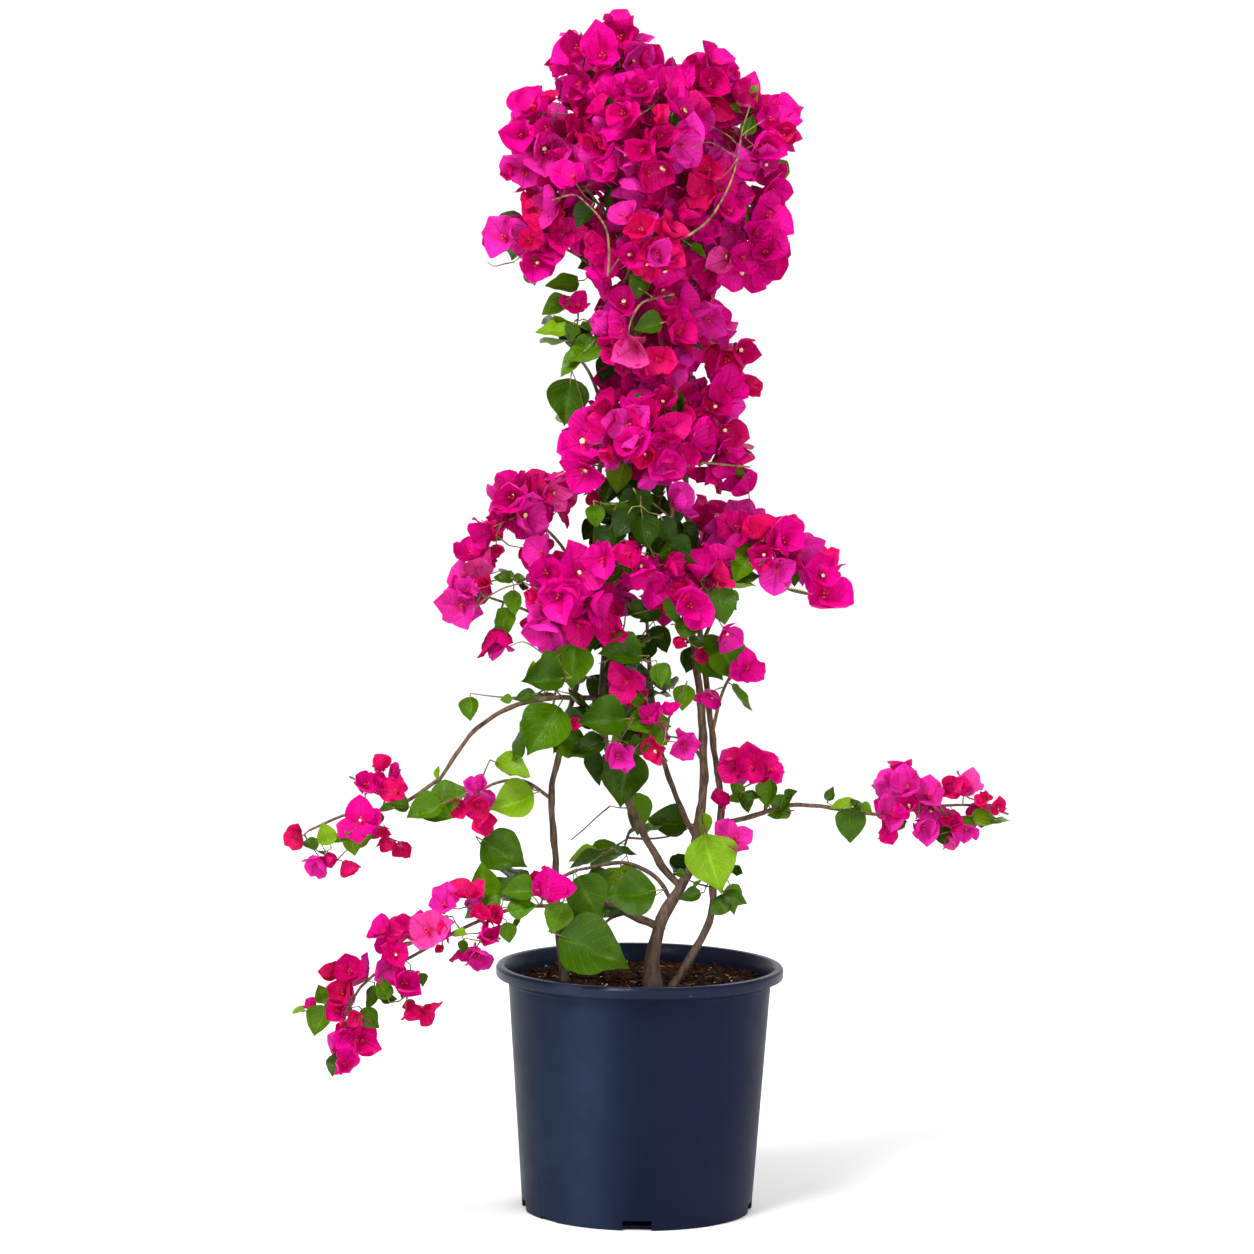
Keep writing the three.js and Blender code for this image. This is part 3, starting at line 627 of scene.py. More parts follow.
# %% Smooth lines
class Line:
    """A smooth line through points, measured along its length from 0 to 1."""

    def __init__(self, points, per_span=24):
        points = [np.asarray(p, float) for p in points]
        ends = [2 * points[0] - points[1], *points, 2 * points[-1] - points[-2]]
        self.points = np.array([
            self.between(ends[i:i + 4], step / per_span)
            for i in range(len(points) - 1) for step in range(per_span + (i == len(points) - 2))])
        lengths = np.linalg.norm(np.diff(self.points, axis=0), axis=1)
        self.marks = np.concatenate([[0], np.cumsum(lengths)])
        self.length = self.marks[-1]

    @staticmethod
    def between(four, t):
        """A place on the curve between the second and third of four points."""
        p0, p1, p2, p3 = four
        d0, d1, d2 = (max(np.linalg.norm(b - a), 1e-9) ** 0.5 for a, b in ((p0, p1), (p1, p2), (p2, p3)))
        t1 = ((p1 - p0) / d0 - (p2 - p0) / (d0 + d1) + (p2 - p1) / d1) * d1
        t2 = ((p2 - p1) / d1 - (p3 - p1) / (d1 + d2) + (p3 - p2) / d2) * d1
        return p1 + t1 * t + (3 * (p2 - p1) - 2 * t1 - t2) * t ** 2 + (2 * (p1 - p2) + t1 + t2) * t ** 3

    def at(self, t):
        """The place at a share of the length."""
        mark = min(max(t, 0), 1) * self.length
        return np.array([np.interp(mark, self.marks, self.points[:, k]) for k in range(3)])

    def ahead(self, t):
        """The direction of the line there."""
        return unit(self.at(min(t + 0.01, 1)) - self.at(max(t - 0.01, 0)))


# %% [markdown]
# ## The stems
# Old bougainvillea stems are thin, crooked and woody: grey-brown, furrowed lengthwise, with a swollen knot wherever a
# leaf or side shoot once grew. Each one is modelled as a straight rod of radius 1, at a quarter of its length: rings
# are cut, some are swollen to knots, and noise roughens it. Stretched to its full length, the noise turns into furrows.
# A Curve modifier then lays the rod along its line, and the line's own radius thins it. Each row of the table gives a
# limb's parent and where on it the limb starts, the radius at its foot and at its tip, the flare of its foot, and its
# points, all in millimetres.

# %% Where the stems run
GROUND = 229.3
FLARE_FADE = 9 * MM
LIMBS = {
    "trunk": (None, 0, 7.4, 5.0, 3.4, [
        (13, -52, GROUND), (12, -49, 258), (19, -44, 287), (30, -38, 311), (42, -32, 330)]),
    "right_leader": ("trunk", 1, 4.6, 2.2, 0, [
        (49, -30, 348), (59, -14, 406), (59, -4, 460), (50, 4, 548), (27, 4, 678), (14, -4, 800), (16, -6, 905)]),
    "centre_leader": ("trunk", 0.93, 3.7, 1.9, 0, [
        (18, -24, 346), (-7, 2, 388), (-32, 18, 440), (-41, 22, 500), (-31, 20, 600), (-18, 9, 745),
        (-14, 4, 860), (-6, 0, 1000)]),
    "right_inner_stem": ("right_leader", 0.07, 3.0, 1.8, 0, [
        (38, -4, 398), (20, 12, 445), (8, 20, 510), (3, 26, 575)]),
    "right_outer_stem": (None, 0, 3.8, 1.9, 1.2, [
        (33, -48, GROUND), (52, -38, 260), (68, -26, 292), (71, -16, 336), (77, -6, 400), (69, 10, 458),
        (59, 20, 540), (46, 18, 640), (38, 16, 740), (36, 12, 850)]),
    "left_stem": (None, 0, 3.6, 1.8, 1.4, [
        (-74, -16, GROUND), (-80, -10, 270), (-84, -2, 345), (-88, 4, 415), (-74, 6, 475), (-57, 4, 560),
        (-48, 4, 660), (-44, 4, 760), (-40, 6, 850)]),
    "low_left_bough": ("trunk", 0.52, 4.4, 2.6, 0, [(-8, -60, 298), (-36, -76, 312), (-78, -95, 312)]),
    "short_left_bough": ("trunk", 0.78, 2.4, 1.5, 0, [(14, -44, 334), (-16, -34, 346), (-62, -24, 337)]),
    "high_left_arch": ("centre_leader", 0.295, 2.7, 1.8, 0, [
        (-60, -4, 503), (-88, -14, 504), (-126, -18, 496), (-164, -24, 472), (-196, -31, 426)]),
    "right_arch": ("right_outer_stem", 0.262, 2.7, 1.8, 0, [
        (104, -12, 389), (140, -14, 401), (172, -9, 401), (200, -5, 396)]),
}


def in_metres(points):
    return [np.array(p) * MM for p in points]


lines = {}
limb_radius = {}
for name, (parent, at, foot, tip, flare, path) in LIMBS.items():
    start = [lines[parent].at(at)] if parent else []
    lines[name] = Line([*start, *in_metres(path)])
    limb_radius[name] = (foot * MM, tip * MM, flare * MM)
print("stems in metres:", {name: round(float(line.length), 3) for name, line in lines.items()})


def radius_along(name, t):
    foot, tip, flare = limb_radius[name]
    return foot + (tip - foot) * t + flare * math.exp(-t * lines[name].length / FLARE_FADE)


# %% Model the stems
ROD_SQUEEZE = 4
RING_STEP = 9 * MM
KNOT_EVERY = 4
KNOT_SWELL = 1.22
CROOKED = 0.16
FURROWS = ((0.7, 0.30), (0.25, 0.16))
OVERLAP = 1.3


def draw_guide(name, stations):
    """The curve that a rod is laid along. It runs past both ends of the limb, so that the limb sits in its bearer."""
    line = lines[name]
    guide = bpy.data.objects.new("guide", bpy.data.curves.new("guide", "CURVE"))
    guide.data.dimensions = "3D"
    guide.data.twist_mode = "MINIMUM"
    guide.data.use_radius = guide.data.use_stretch = guide.data.use_deform_bounds = True
    spline = guide.data.splines.new("POLY")
    spline.points.add(stations + 2)
    over = OVERLAP * radius_along(name, 0)
    path = [line.at(0) - over * line.ahead(0), *(line.at(i / stations) for i in range(stations + 1)),
            line.at(1) + over * line.ahead(1)]
    for i, point in enumerate(spline.points):
        point.co = (*path[i], 1)
        point.radius = radius_along(name, min(max((i - 1) / stations, 0), 1))
    bpy.context.scene.collection.objects.link(guide)
    return guide


def model_stem(name, seed):
    """A rod with knots and furrows, laid along its limb's line."""
    line = lines[name]
    rings = max(6, round(line.length / RING_STEP))
    short = line.length / radius_along(name, 0.5) / ROD_SQUEEZE
    rod = start_piece(bpy.ops.mesh.primitive_cylinder_add, vertices=12, radius=1, depth=short,
                      location=(0, 0, short / 2))
    settle(rod)
    rng = np.random.default_rng(seed)
    bpy.ops.object.mode_set(mode="EDIT")
    pick("edges", lambda e: abs(e.verts[0].co.z - e.verts[1].co.z) > short / 2)
    bpy.ops.mesh.subdivide(number_cuts=rings - 1)
    for ring in range(2, rings - 1):
        height = short * ring / rings
        knot = KNOT_SWELL if ring % KNOT_EVERY == 0 else 1.0
        share = knot * (0.94 + 0.12 * rng.random())
        pick("verts", lambda v: abs(v.co.z - height) < short / rings / 3)
        bpy.ops.transform.resize(value=(share, share, 1), center_override=(0, 0, height))
        shift = CROOKED * rng.normal(size=2)
        bpy.ops.transform.translate(value=(shift[0], shift[1], 0))
    bpy.ops.object.mode_set(mode="OBJECT")
    apply_modifier(rod, "SUBSURF", levels=1, render_levels=1)
    for grain, push in FURROWS:
        furrows = bpy.data.textures.new("furrows", "CLOUDS")
        furrows.noise_scale = grain
        bpy.ops.object.select_all(action="DESELECT")
        apply_modifier(rod, "DISPLACE", texture=furrows, strength=push, mid_level=0.5, texture_coords="LOCAL")
    rod.scale = (1, 1, ROD_SQUEEZE)
    settle(rod)
    guide = draw_guide(name, max(12, rings))
    apply_modifier(rod, "CURVE", object=guide, deform_axis="POS_Z")
    bpy.data.objects.remove(guide)
    select_only(rod)
    bpy.ops.object.shade_smooth()
    return rod


# %% [markdown]
# Bark is greyest where it is oldest, near the soil, and turns olive-tan higher up. Fine cracks run along the stem, and
# small pale pores dot it.

# %% Paint the bark
def bark(name, old, young, low, high):
    """Furrowed bark that changes from one colour to another between two heights."""
    recipe = Recipe(name)
    where = recipe.place()
    height = recipe.part(where, "Z")
    furrow = recipe.noise(where, 260.0, 5.0, (1, 1, 0.22))
    patch = recipe.noise(where, 70.0, 3.0, (1, 1, 0.5))
    pores = recipe.ramp(recipe.noise(where, 700.0, 1.0), 0.66, 0.72)
    colour = recipe.blend(recipe.ramp(height + (patch - 0.5) * 0.12, low, high), old, young)
    colour = recipe.blend(recipe.ramp(furrow, 0.36, 0.60), scaled(old, 0.32), colour)
    colour = recipe.blend(pores * 0.5, colour, scaled(old, 2.0))
    relief = recipe.bump(furrow + pores * 0.2, 0.9 * MM, 0.8)
    return recipe.surface(Base_Color=colour, Roughness=0.8 - patch * 0.15, Normal=relief)


FIRST_STEM_SEED = 20
woody = bark("woody_bark", tint(88, 65, 49), tint(122, 92, 64), 0.30, 0.70)
for seed, name in enumerate(LIMBS, FIRST_STEM_SEED):
    mount_piece(model_stem(name, seed), f"{name}_bark", woody, "bark", name)

# %% [markdown]
# ## Bracts, flowers and leaves
# What looks like a petal is a bract: a thin papery leaf, broad and pointed, with a raised midrib and a wavy edge. Three
# stand round each small cluster of cream tube flowers. True leaves are thicker, heart-shaped and drawn to a point. Both
# start as a small grid: the columns are lifted into a cup with a crease, each row is scaled to the outline's width, and
# noise gives the edge its waves. A few differently bent ones are enough, because every copy also gets its own turn.


# %% Model the blades
RIPPLE_GRAIN = 0.42
RIPPLES = (("Z", 1.0), ("X", 0.25), ("Y", 0.18))
RIPPLE_STEP = 3.7
NEAR_ROW = 0.02
NEAR_FOOT = 0.035


def model_blade(half_widths, columns, crease, cup, curl, wave, seed):
    """A blade of length 1 along Y that faces +Z. It is a grid whose rows are scaled to the outline's half widths."""
    rows = len(half_widths) - 1
    blade = start_piece(bpy.ops.mesh.primitive_grid_add, x_subdivisions=2 * columns, y_subdivisions=rows, size=1,
                        location=(0, 0.5, 0))
    settle(blade)
    bpy.ops.object.mode_set(mode="EDIT")
    for column in range(columns + 1):
        side = column / columns
        pick("verts", lambda v: abs(abs(v.co.x) - 0.5 * side) < NEAR_ROW)
        bpy.ops.transform.translate(value=(0, 0, cup * side ** 2 - crease * (1 - side) ** 2))
    for row in range(rows + 1):
        y = row / rows
        share = 2 * half_widths[row]
        pick("verts", lambda v: abs(v.co.y - y) < NEAR_ROW)
        bpy.ops.transform.resize(value=(share, 1, share), center_override=(0, y, 0))
    bpy.ops.object.mode_set(mode="OBJECT")
    ripples = bpy.data.textures.new("ripples", "CLOUDS")
    ripples.noise_scale = RIPPLE_GRAIN
    for direction, share in RIPPLES:
        blade.location.x += RIPPLE_STEP * (seed + 1)
        apply_modifier(blade, "DISPLACE", texture=ripples, strength=share * wave, mid_level=0.5,
                       direction=direction, texture_coords="GLOBAL")
    blade.location.x = 0
    points, faces, spots = as_shape(blade)
    points[:, 2] += curl * points[:, 1] ** 2 - points[points[:, 1] < NEAR_FOOT, 2].mean()
    return points, faces, spots


# %% [markdown]
# The half widths run from foot to tip. Each bend is a cup, a curl along the blade and a wave. A big leaf is seen so
# near that its outline needs more rows.

# %% Bend bracts and leaves
BRACT_HALF = (0.14, 0.35, 0.48, 0.54, 0.55, 0.52, 0.45, 0.29, 0.03)
LEAF_HALF = (0.12, 0.35, 0.44, 0.45, 0.42, 0.35, 0.25, 0.13, 0.01)
BROAD_LEAF_HALF = (0.05, 0.24, 0.35, 0.41, 0.44, 0.45, 0.44, 0.41, 0.37, 0.32, 0.25, 0.18, 0.11, 0.05, 0.006)
BROAD_FROM = 42 * MM
BRACT_BENDS = (
    (0.18, -0.10, 0.36), (0.30, -0.24, 0.38), (0.10, 0.16, 0.42), (0.00, -0.32, 0.42), (0.34, 0.04, 0.36),
    (0.20, -0.42, 0.42), (-0.12, -0.12, 0.44))
LEAF_BENDS = (
    (0.12, -0.16, 0.26), (0.22, -0.30, 0.32), (0.02, -0.08, 0.30), (0.30, -0.05, 0.28), (0.10, -0.45, 0.34),
    (-0.08, -0.20, 0.32))


def bent_blades(half_widths, columns, crease, all_bends, first_seed):
    return [model_blade(half_widths, columns, crease, *bends, seed)
            for seed, bends in enumerate(all_bends, first_seed)]


BRACTS = bent_blades(BRACT_HALF, 3, 0.10, BRACT_BENDS, 0)
LEAVES = bent_blades(LEAF_HALF, 3, 0.13, LEAF_BENDS, 10)
BROAD_LEAVES = bent_blades(BROAD_LEAF_HALF, 4, 0.16, LEAF_BENDS, 20)
print("faces of a bract, a leaf and a broad leaf:", len(BRACTS[0][1]), len(LEAVES[0][1]), len(BROAD_LEAVES[0][1]))


# %% [markdown]
# The true flower is a narrow tube with a star-shaped mouth, no longer than a grain of rice. Most of them are shut. It
# is raised ring by ring as the pot was, and only an open one's map reaches the cream colour of the mouth.

# %% Model the flower
FLOWER_FOOT = 0.07
OPEN_MOUTH, SHUT_MOUTH = 0.24, 0.10
SHUT_MAP = 0.88


def model_flower(mouth):
    """A five-sided tube of length 1 along Z that widens to a mouth."""
    flower = start_piece(bpy.ops.mesh.primitive_circle_add, vertices=5, radius=FLOWER_FOOT, fill_type="NGON")
    bpy.ops.object.mode_set(mode="EDIT")
    bpy.ops.mesh.select_all(action="SELECT")
    raise_rings([(0.35, 0.11), (0.88, 0.08), (1.0, mouth), (0.94, 0.3 * mouth)], 0, FLOWER_FOOT)
    bpy.ops.mesh.select_all(action="SELECT")
    bpy.ops.mesh.normals_make_consistent(inside=False)
    bpy.ops.object.mode_set(mode="OBJECT")
    return as_shape(flower, map_height=True)


OPEN_FLOWER = model_flower(OPEN_MOUTH)
points, faces, spots = model_flower(SHUT_MOUTH)
SHUT_FLOWER = (points, faces, spots * SHUT_MAP)
print("faces of a flower:", len(faces))


# %% [markdown]
# Twigs and straws are too many to be laid one by one with a modifier. Their rings of points are worked out straight
# into a heap. Each ring's first direction is carried on from the ring before, so that a tube never twists.

# %% Twigs as joined tubes
def lay_tube(heap, points, radii, sides):
    """A tube through points with a radius at each."""
    points = np.asarray(points)
    ahead = np.gradient(points, axis=0)
    normal = np.cross(ahead[0], (0.31, 0.52, 0.8))
    rings = []
    for centre, way, radius in zip(points, ahead, radii):
        way = unit(way)
        normal = unit(normal - way * np.dot(normal, way))
        across = np.cross(way, normal)
        turns = 2 * math.pi * np.arange(sides) / sides
        rings.append(centre + radius * (np.outer(np.cos(turns), normal) + np.outer(np.sin(turns), across)))
    count = len(rings)
    faces = [(i * sides + k, i * sides + (k + 1) % sides, (i + 1) * sides + (k + 1) % sides, (i + 1) * sides + k)
             for i in range(count - 1) for k in range(sides)]
    spots = np.zeros((len(faces) * 4, 2))
    heap.add((np.concatenate(rings), faces, spots), np.eye(3), np.zeros(3), 1.0)


def bowed(start, end, bow, steps):
    """Points from start to end on an arc that is pushed aside at its middle."""
    t = np.linspace(0, 1, steps + 1)[:, None]
    return start * (1 - t) + end * t + bow * 4 * t * (1 - t)


# %% Dry straws on the soil
STRAWS = 34
STRAW_SPAN = 6
STRAW_HALVES = (7, 19)
STRAW_RADII = (0.4, 0.9)
STRAW_BOW = 3 * MM
STRAW_MARGIN = 16 * MM

straw_rng = np.random.default_rng(9)
straw_heap = Heap()
for _ in range(STRAWS):
    angle = 2 * math.pi * straw_rng.random()
    radius = (SOIL_RADIUS - STRAW_MARGIN) * math.sqrt(straw_rng.random())
    spot = np.array((radius * math.cos(angle), radius * math.sin(angle), 0.0))
    heading = 2 * math.pi * straw_rng.random()
    half = straw_rng.uniform(*STRAW_HALVES) * MM * np.array((math.cos(heading), math.sin(heading), 0.0))
    if np.linalg.norm(spot) + np.linalg.norm(half) > SOIL_RADIUS - SOIL_MARGIN:
        continue
    thick = straw_rng.uniform(*STRAW_RADII) * MM
    way = bowed(spot - half, spot + half, STRAW_BOW * random_way(straw_rng) * (1, 1, 0), STRAW_SPAN)
    way[:, 2] = [soil_height(x, y) + thick + 0.5 * MM for x, y, _ in way]
    lay_tube(straw_heap, way, np.linspace(thick, 0.5 * thick, STRAW_SPAN + 1), 5)
dry_straw = earth("dry_straw", tint(92, 62, 34), tint(176, 142, 92), 0.85)
mount_piece(straw_heap.joined(), "dry_straws", dry_straw, "soil")

# %% [markdown]
# ## How the masses grow
# The solids hold each mass of foliage as a stem with large blooms and leaves on it, inside a space of its own: a
# string of balls round that stem. The same rule grows the fine foliage here. Twigs leave the stem towards points that
# are spread evenly by the golden angle, and each carries a bloom or a leaf. One that would lie outside the space, in
# the pot, in a stem, or too near another is left out. Each row gives a mass's name, the limb that bears it and where,
# its heart in millimetres, its reach, how many large blooms and leaves it has in the solids, and its kind. A spray has
# a path in place of a heart.

# %% The masses
HEAD, COLUMN, SKIRT, LEAFY, SPRAY = range(5)
LOBES = [
    ("crown_peak", "centre_leader", 1, (-38, -8, 1112), 60, 11, 0, HEAD),
    ("crown_right", "centre_leader", 0.95, (52, 0, 1092), 56, 10, 0, HEAD),
    ("head_right_top", "right_leader", 1, (104, -4, 1036), 54, 9, 0, HEAD),
    ("head_right_low", "right_leader", 0.94, (96, -4, 948), 58, 10, 0, HEAD),
    ("head_left_top", "centre_leader", 0.89, (-100, -6, 1042), 60, 11, 0, HEAD),
    ("head_left_low", "centre_leader", 0.82, (-104, -8, 952), 58, 10, 1, HEAD),
    ("head_front_top", "centre_leader", 0.975, (-6, -72, 1048), 64, 12, 0, HEAD),
    ("head_front_low", "left_stem", 1, (-4, -68, 946), 62, 11, 0, HEAD),
    ("head_back_top", "centre_leader", 0.92, (0, 70, 1050), 68, 11, 1, HEAD),
    ("head_back_low", "centre_leader", 0.84, (-4, 74, 952), 66, 11, 1, HEAD),
    ("head_front_left", "centre_leader", 0.86, (-62, -44, 1000), 50, 8, 0, HEAD),
    ("head_front_right", "right_leader", 0.97, (58, -44, 998), 50, 8, 0, HEAD),
    ("column_right_top", "right_outer_stem", 0.97, (62, 2, 868), 52, 10, 0, COLUMN),
    ("column_right_low", "right_outer_stem", 0.8, (60, -6, 768), 54, 10, 0, COLUMN),
    ("column_front_top", "left_stem", 0.95, (2, -50, 866), 56, 9, 1, COLUMN),
    ("column_front_low", "right_leader", 0.68, (2, -52, 764), 58, 10, 1, COLUMN),
    ("column_left_leaves", "left_stem", 0.9, (-74, -4, 844), 58, 0, 7, LEAFY),
    ("column_left_low", "left_stem", 0.76, (-58, -8, 752), 54, 10, 0, COLUMN),
    ("column_back_top", "centre_leader", 0.74, (4, 56, 862), 60, 9, 2, COLUMN),
    ("column_back_low", "centre_leader", 0.6, (2, 58, 760), 60, 9, 2, COLUMN),
    ("skirt_left", "left_stem", 0.6, (-126, -10, 692), 58, 11, 0, SKIRT),
    ("skirt_left_low", "left_stem", 0.5, (-158, -14, 604), 56, 9, 1, SKIRT),
    ("skirt_front_left", "left_stem", 0.54, (-76, -44, 612), 58, 10, 0, SKIRT),
    ("skirt_front", "centre_leader", 0.45, (-6, -60, 654), 58, 10, 0, SKIRT),
    ("skirt_front_right", "right_leader", 0.46, (52, -48, 600), 54, 8, 1, SKIRT),
    ("skirt_right", "right_outer_stem", 0.54, (122, -6, 652), 60, 11, 0, SKIRT),
    ("skirt_right_tip", "right_outer_stem", 0.47, (172, -8, 606), 48, 6, 0, SKIRT),
    ("skirt_right_leaves", "right_outer_stem", 0.4, (92, -2, 540), 56, 4, 6, LEAFY),
    ("skirt_back_left", "right_inner_stem", 1, (-58, 60, 622), 60, 8, 3, SKIRT),
    ("skirt_back_right", "right_outer_stem", 0.5, (50, 66, 626), 60, 8, 3, SKIRT),
    ("left_leaves", "left_stem", 0.37, (-98, -34, 500), 66, 0, 10, LEAFY),
    ("centre_blooms", "centre_leader", 0.34, (-6, -44, 548), 54, 5, 4, LEAFY),
    ("centre_leaves", "centre_leader", 0.22, (-34, -40, 464), 62, 3, 8, LEAFY),
    ("right_centre_blooms", "right_leader", 0.2, (34, -44, 470), 48, 5, 2, LEAFY),
    ("back_leaves", "right_inner_stem", 0.6, (4, 60, 500), 62, 3, 7, LEAFY),
    ("right_low_blooms", "right_arch", 0.36, (108, -20, 444), 46, 7, 1, LEAFY),
    ("right_low_leaves", "right_outer_stem", 0.17, (78, -46, 346), 58, 1, 6, LEAFY),
    ("base_left_leaves", "short_left_bough", 1, (-100, -44, 318), 60, 2, 7, LEAFY),
    ("base_front_leaves", "low_left_bough", 0.36, (-40, -96, 288), 56, 0, 6, LEAFY),
    ("base_back_leaves", "centre_leader", 0.1, (-16, 50, 352), 58, 0, 7, LEAFY),
]
SPRAYS = [
    ("mid_left_spray", "left_stem", 0.28, 44, 6, 4, [(-116, -10, 422), (-144, -18, 420), (-166, -24, 406)]),
    ("high_left_spray", "high_left_arch", 1, 48, 14, 4, [(-240, -38, 398), (-284, -45, 392), (-322, -50, 376)]),
    ("low_left_spray", "low_left_bough", 1, 48, 20, 7, [
        (-118, -109, 312), (-172, -120, 292), (-218, -126, 266), (-260, -131, 244), (-282, -132, 206),
        (-283, -132, 170)]),
    ("right_spray", "right_arch", 1, 46, 14, 6, [(236, 0, 392), (290, 8, 400), (332, 12, 400), (360, 14, 392)]),
]

# %% [markdown]
# A lobe's stem leaves its limb along the limb's own direction and bends towards the heart. Its foot is bare, and from
# there on its balls swell to the full reach. A spray is nearly as full at its foot as at its tip.

# %% Their stems and spaces
BALLS = 10
ROOM = 1.15
STEM_ROOM = 7 * MM
BENDS_AT, CARRIES_ON = 0.45, 0.12
BARE_FOOT = 0.35


class Mass:
    """One mass of foliage: its stem, and the string of balls that is its space."""

    def __init__(self, name, limb, at, reach, blooms, leaves, kind, heart=None, path=None):
        self.name, self.blooms, self.leaves, self.kind = name, blooms, leaves, kind
        self.reach = reach * MM
        self.rng = np.random.default_rng([ord(letter) for letter in name])
        foot = lines[limb].at(at)
        if path:
            self.stem = Line([foot, *in_metres(path)])
        else:
            heart = np.array(heart) * MM
            span = np.linalg.norm(heart - foot)
            middle = foot + BENDS_AT * (heart - foot) + lines[limb].ahead(at) * CARRIES_ON * span
            self.stem = Line([foot, middle, heart])
        steps = np.arange(BALLS + 1) / BALLS
        leafy = (steps - BARE_FOOT) / (1 - BARE_FOOT)
        full = np.clip(0.75 + 3 * steps, 0, 1) if path else np.clip(leafy, 0, 1) ** 1.5
        self.centres = np.array([self.stem.at(t) for t in steps])
        self.radii = np.maximum(STEM_ROOM, ROOM * self.reach * full)


masses = [Mass(name, limb, at, reach, blooms, leaves, kind, heart=heart)
          for name, limb, at, heart, reach, blooms, leaves, kind in LOBES]
masses += [Mass(name, limb, at, reach, blooms, leaves, SPRAY, path=path)
           for name, limb, at, reach, blooms, leaves, path in SPRAYS]
all_centres = np.array([m.centres for m in masses])
all_radii = np.array([m.radii for m in masses])
print("masses:", len(masses))


# %% Tests for a place
def depths(place):
    """How deep a place lies in each mass's space: 0 at a ball's middle and 1 at its edge."""
    away = np.linalg.norm(all_centres - place, axis=2)
    return (away / all_radii).min(axis=1)


wood = np.concatenate([line.points[::3] for line in lines.values()])
wood_radius = np.concatenate([[radius_along(name, t) for t in line.marks[::3] / line.length]
                              for name, line in lines.items()])
SPARE = 8 * MM
OVER_RIM, ASIDE_RIM = 3 * MM, 4 * MM
OFF_WOOD = 1 * MM
HEART_DEPTH = 0.98
print("places on the wood:", len(wood))


def is_outside_wood_and_pot(tips):
    """Whether places lie clear of stems and pot, and in the box of the solids."""
    for tip in tips:
        if tip[2] < POT_HEIGHT + OVER_RIM and math.hypot(tip[0], tip[1]) < RIM_RADIUS + ASIDE_RIM:
            return False
        if np.any(tip < np.array(CAD_LOW) - SPARE) or np.any(tip > np.array(CAD_HIGH) + SPARE):
            return False
        if np.any(np.linalg.norm(wood - tip, axis=1) < wood_radius + OFF_WOOD):
            return False
    return True


def is_in_own_space(mass, heart, tips):
    """Whether a heart lies deeper in its own mass than in any other, and the tips lie in that mass too."""
    own = masses.index(mass)
    deep = depths(heart)
    return deep[own] < HEART_DEPTH and deep.min() >= deep[own] and all(depths(tip)[own] < 1.0 for tip in tips)


# %% [markdown]
# Colour changes from bloom to bloom more than it does over one bract: fresh ones are magenta, young ones crimson, and
# old ones pale. The deep bracts and the old leaves are painted shade: darker copies of the magenta and of the green,
# for blooms and leaves in the shade of others. A baked finish can't follow thousands of small blades, so each tint is a
# piece of its own with one plain base colour, and blooms and leaves are dealt out to the tints by the kind of their
# mass.

# %% Heaps of each kind
BRACT_TINTS = {
    "magenta": tint(222, 4, 142),
    "hot_pink": tint(226, 38, 166),
    # The deep tint is painted shade: a darker magenta for blooms in the shade of others.
    "deep": tint(206, 0, 112),
    "crimson": tint(218, 10, 100),
    "pale": tint(236, 66, 162),
}
LEAF_TINTS = {
    "mid": tint(72, 110, 2),
    "dark": tint(50, 80, 0),
    "lime": tint(106, 142, 14),
    # The old tint is painted shade: a darker green for leaves that lie in the shade of others.
    "old": tint(34, 58, 0),
}
bract_heaps = {name: Heap() for name in BRACT_TINTS}
leaf_heaps = {name: Heap() for name in LEAF_TINTS}
flower_heap = Heap()
woody_heap = Heap()
green_heap = Heap()
# Shares of magenta, hot pink, deep, crimson and pale; deep is painted shade and goes most to the head and the column.
MIXES = {
    HEAD: (0.48, 0.23, 0.26, 0.03, 0.00),
    COLUMN: (0.44, 0.30, 0.20, 0.05, 0.01),
    SKIRT: (0.38, 0.38, 0.13, 0.08, 0.03),
    LEAFY: (0.30, 0.36, 0.10, 0.20, 0.04),
    SPRAY: (0.32, 0.28, 0.16, 0.20, 0.04),
}
# The last share is the old tint, which is painted shade.
LEAF_MIX = (0.40, 0.40, 0.08, 0.12)
BLOOM_NAMES, LEAF_NAMES = list(BRACT_TINTS), list(LEAF_TINTS)
placed_hearts = [np.zeros(3)]
placed_sizes = [0.0]


def is_crowded(heart, size, closeness):
    """Whether a place is nearer to one that is taken than a share of both their sizes."""
    away = np.linalg.norm(np.array(placed_hearts) - heart, axis=1)
    return bool(np.any(away < closeness * (np.array(placed_sizes) + size)))


# %% [markdown]
# Twigs aren't drawn first and hung with blooms afterwards. Each new bloom or leaf looks for the nearest point of wood
# that its mass already has, and a new twig joins the two. Its own points are then there for the next ones. The result
# forks as a real branch does, and nothing hangs in the air. The outermost mass of the skirt is borne by its neighbour.

# %% Join a twig to the wood that is there
VIEWER = np.array((0.0, -1.0, 0.0))
GOLDEN_TURN = math.pi * (3 - math.sqrt(5))
JOINTS = 15
TWIG_STEP = 11 * MM
THINNEST, THICKEST, THICKENS = 0.55, 1.4, 0.016
TWIG_TIP = 0.5 * MM
YOUNG_TWIG = 26 * MM
BOW, SAG = 0.10, 0.05
BORNE_BY = {"skirt_right_tip": "skirt_right"}

for mass in masses:
    for bearer in masses:
        if bearer.name == BORNE_BY.get(mass.name):
            heart = mass.stem.at(1)
            mass.stem = Line([bearer.stem.at(0.8), 0.5 * (bearer.stem.at(0.8) + heart) - 8 * MM * UP, heart])
    first = 0.0 if mass.kind == SPRAY else BARE_FOOT
    mass.joints = [mass.stem.at(first + (1 - first) * i / (JOINTS - 1)) for i in range(JOINTS)]


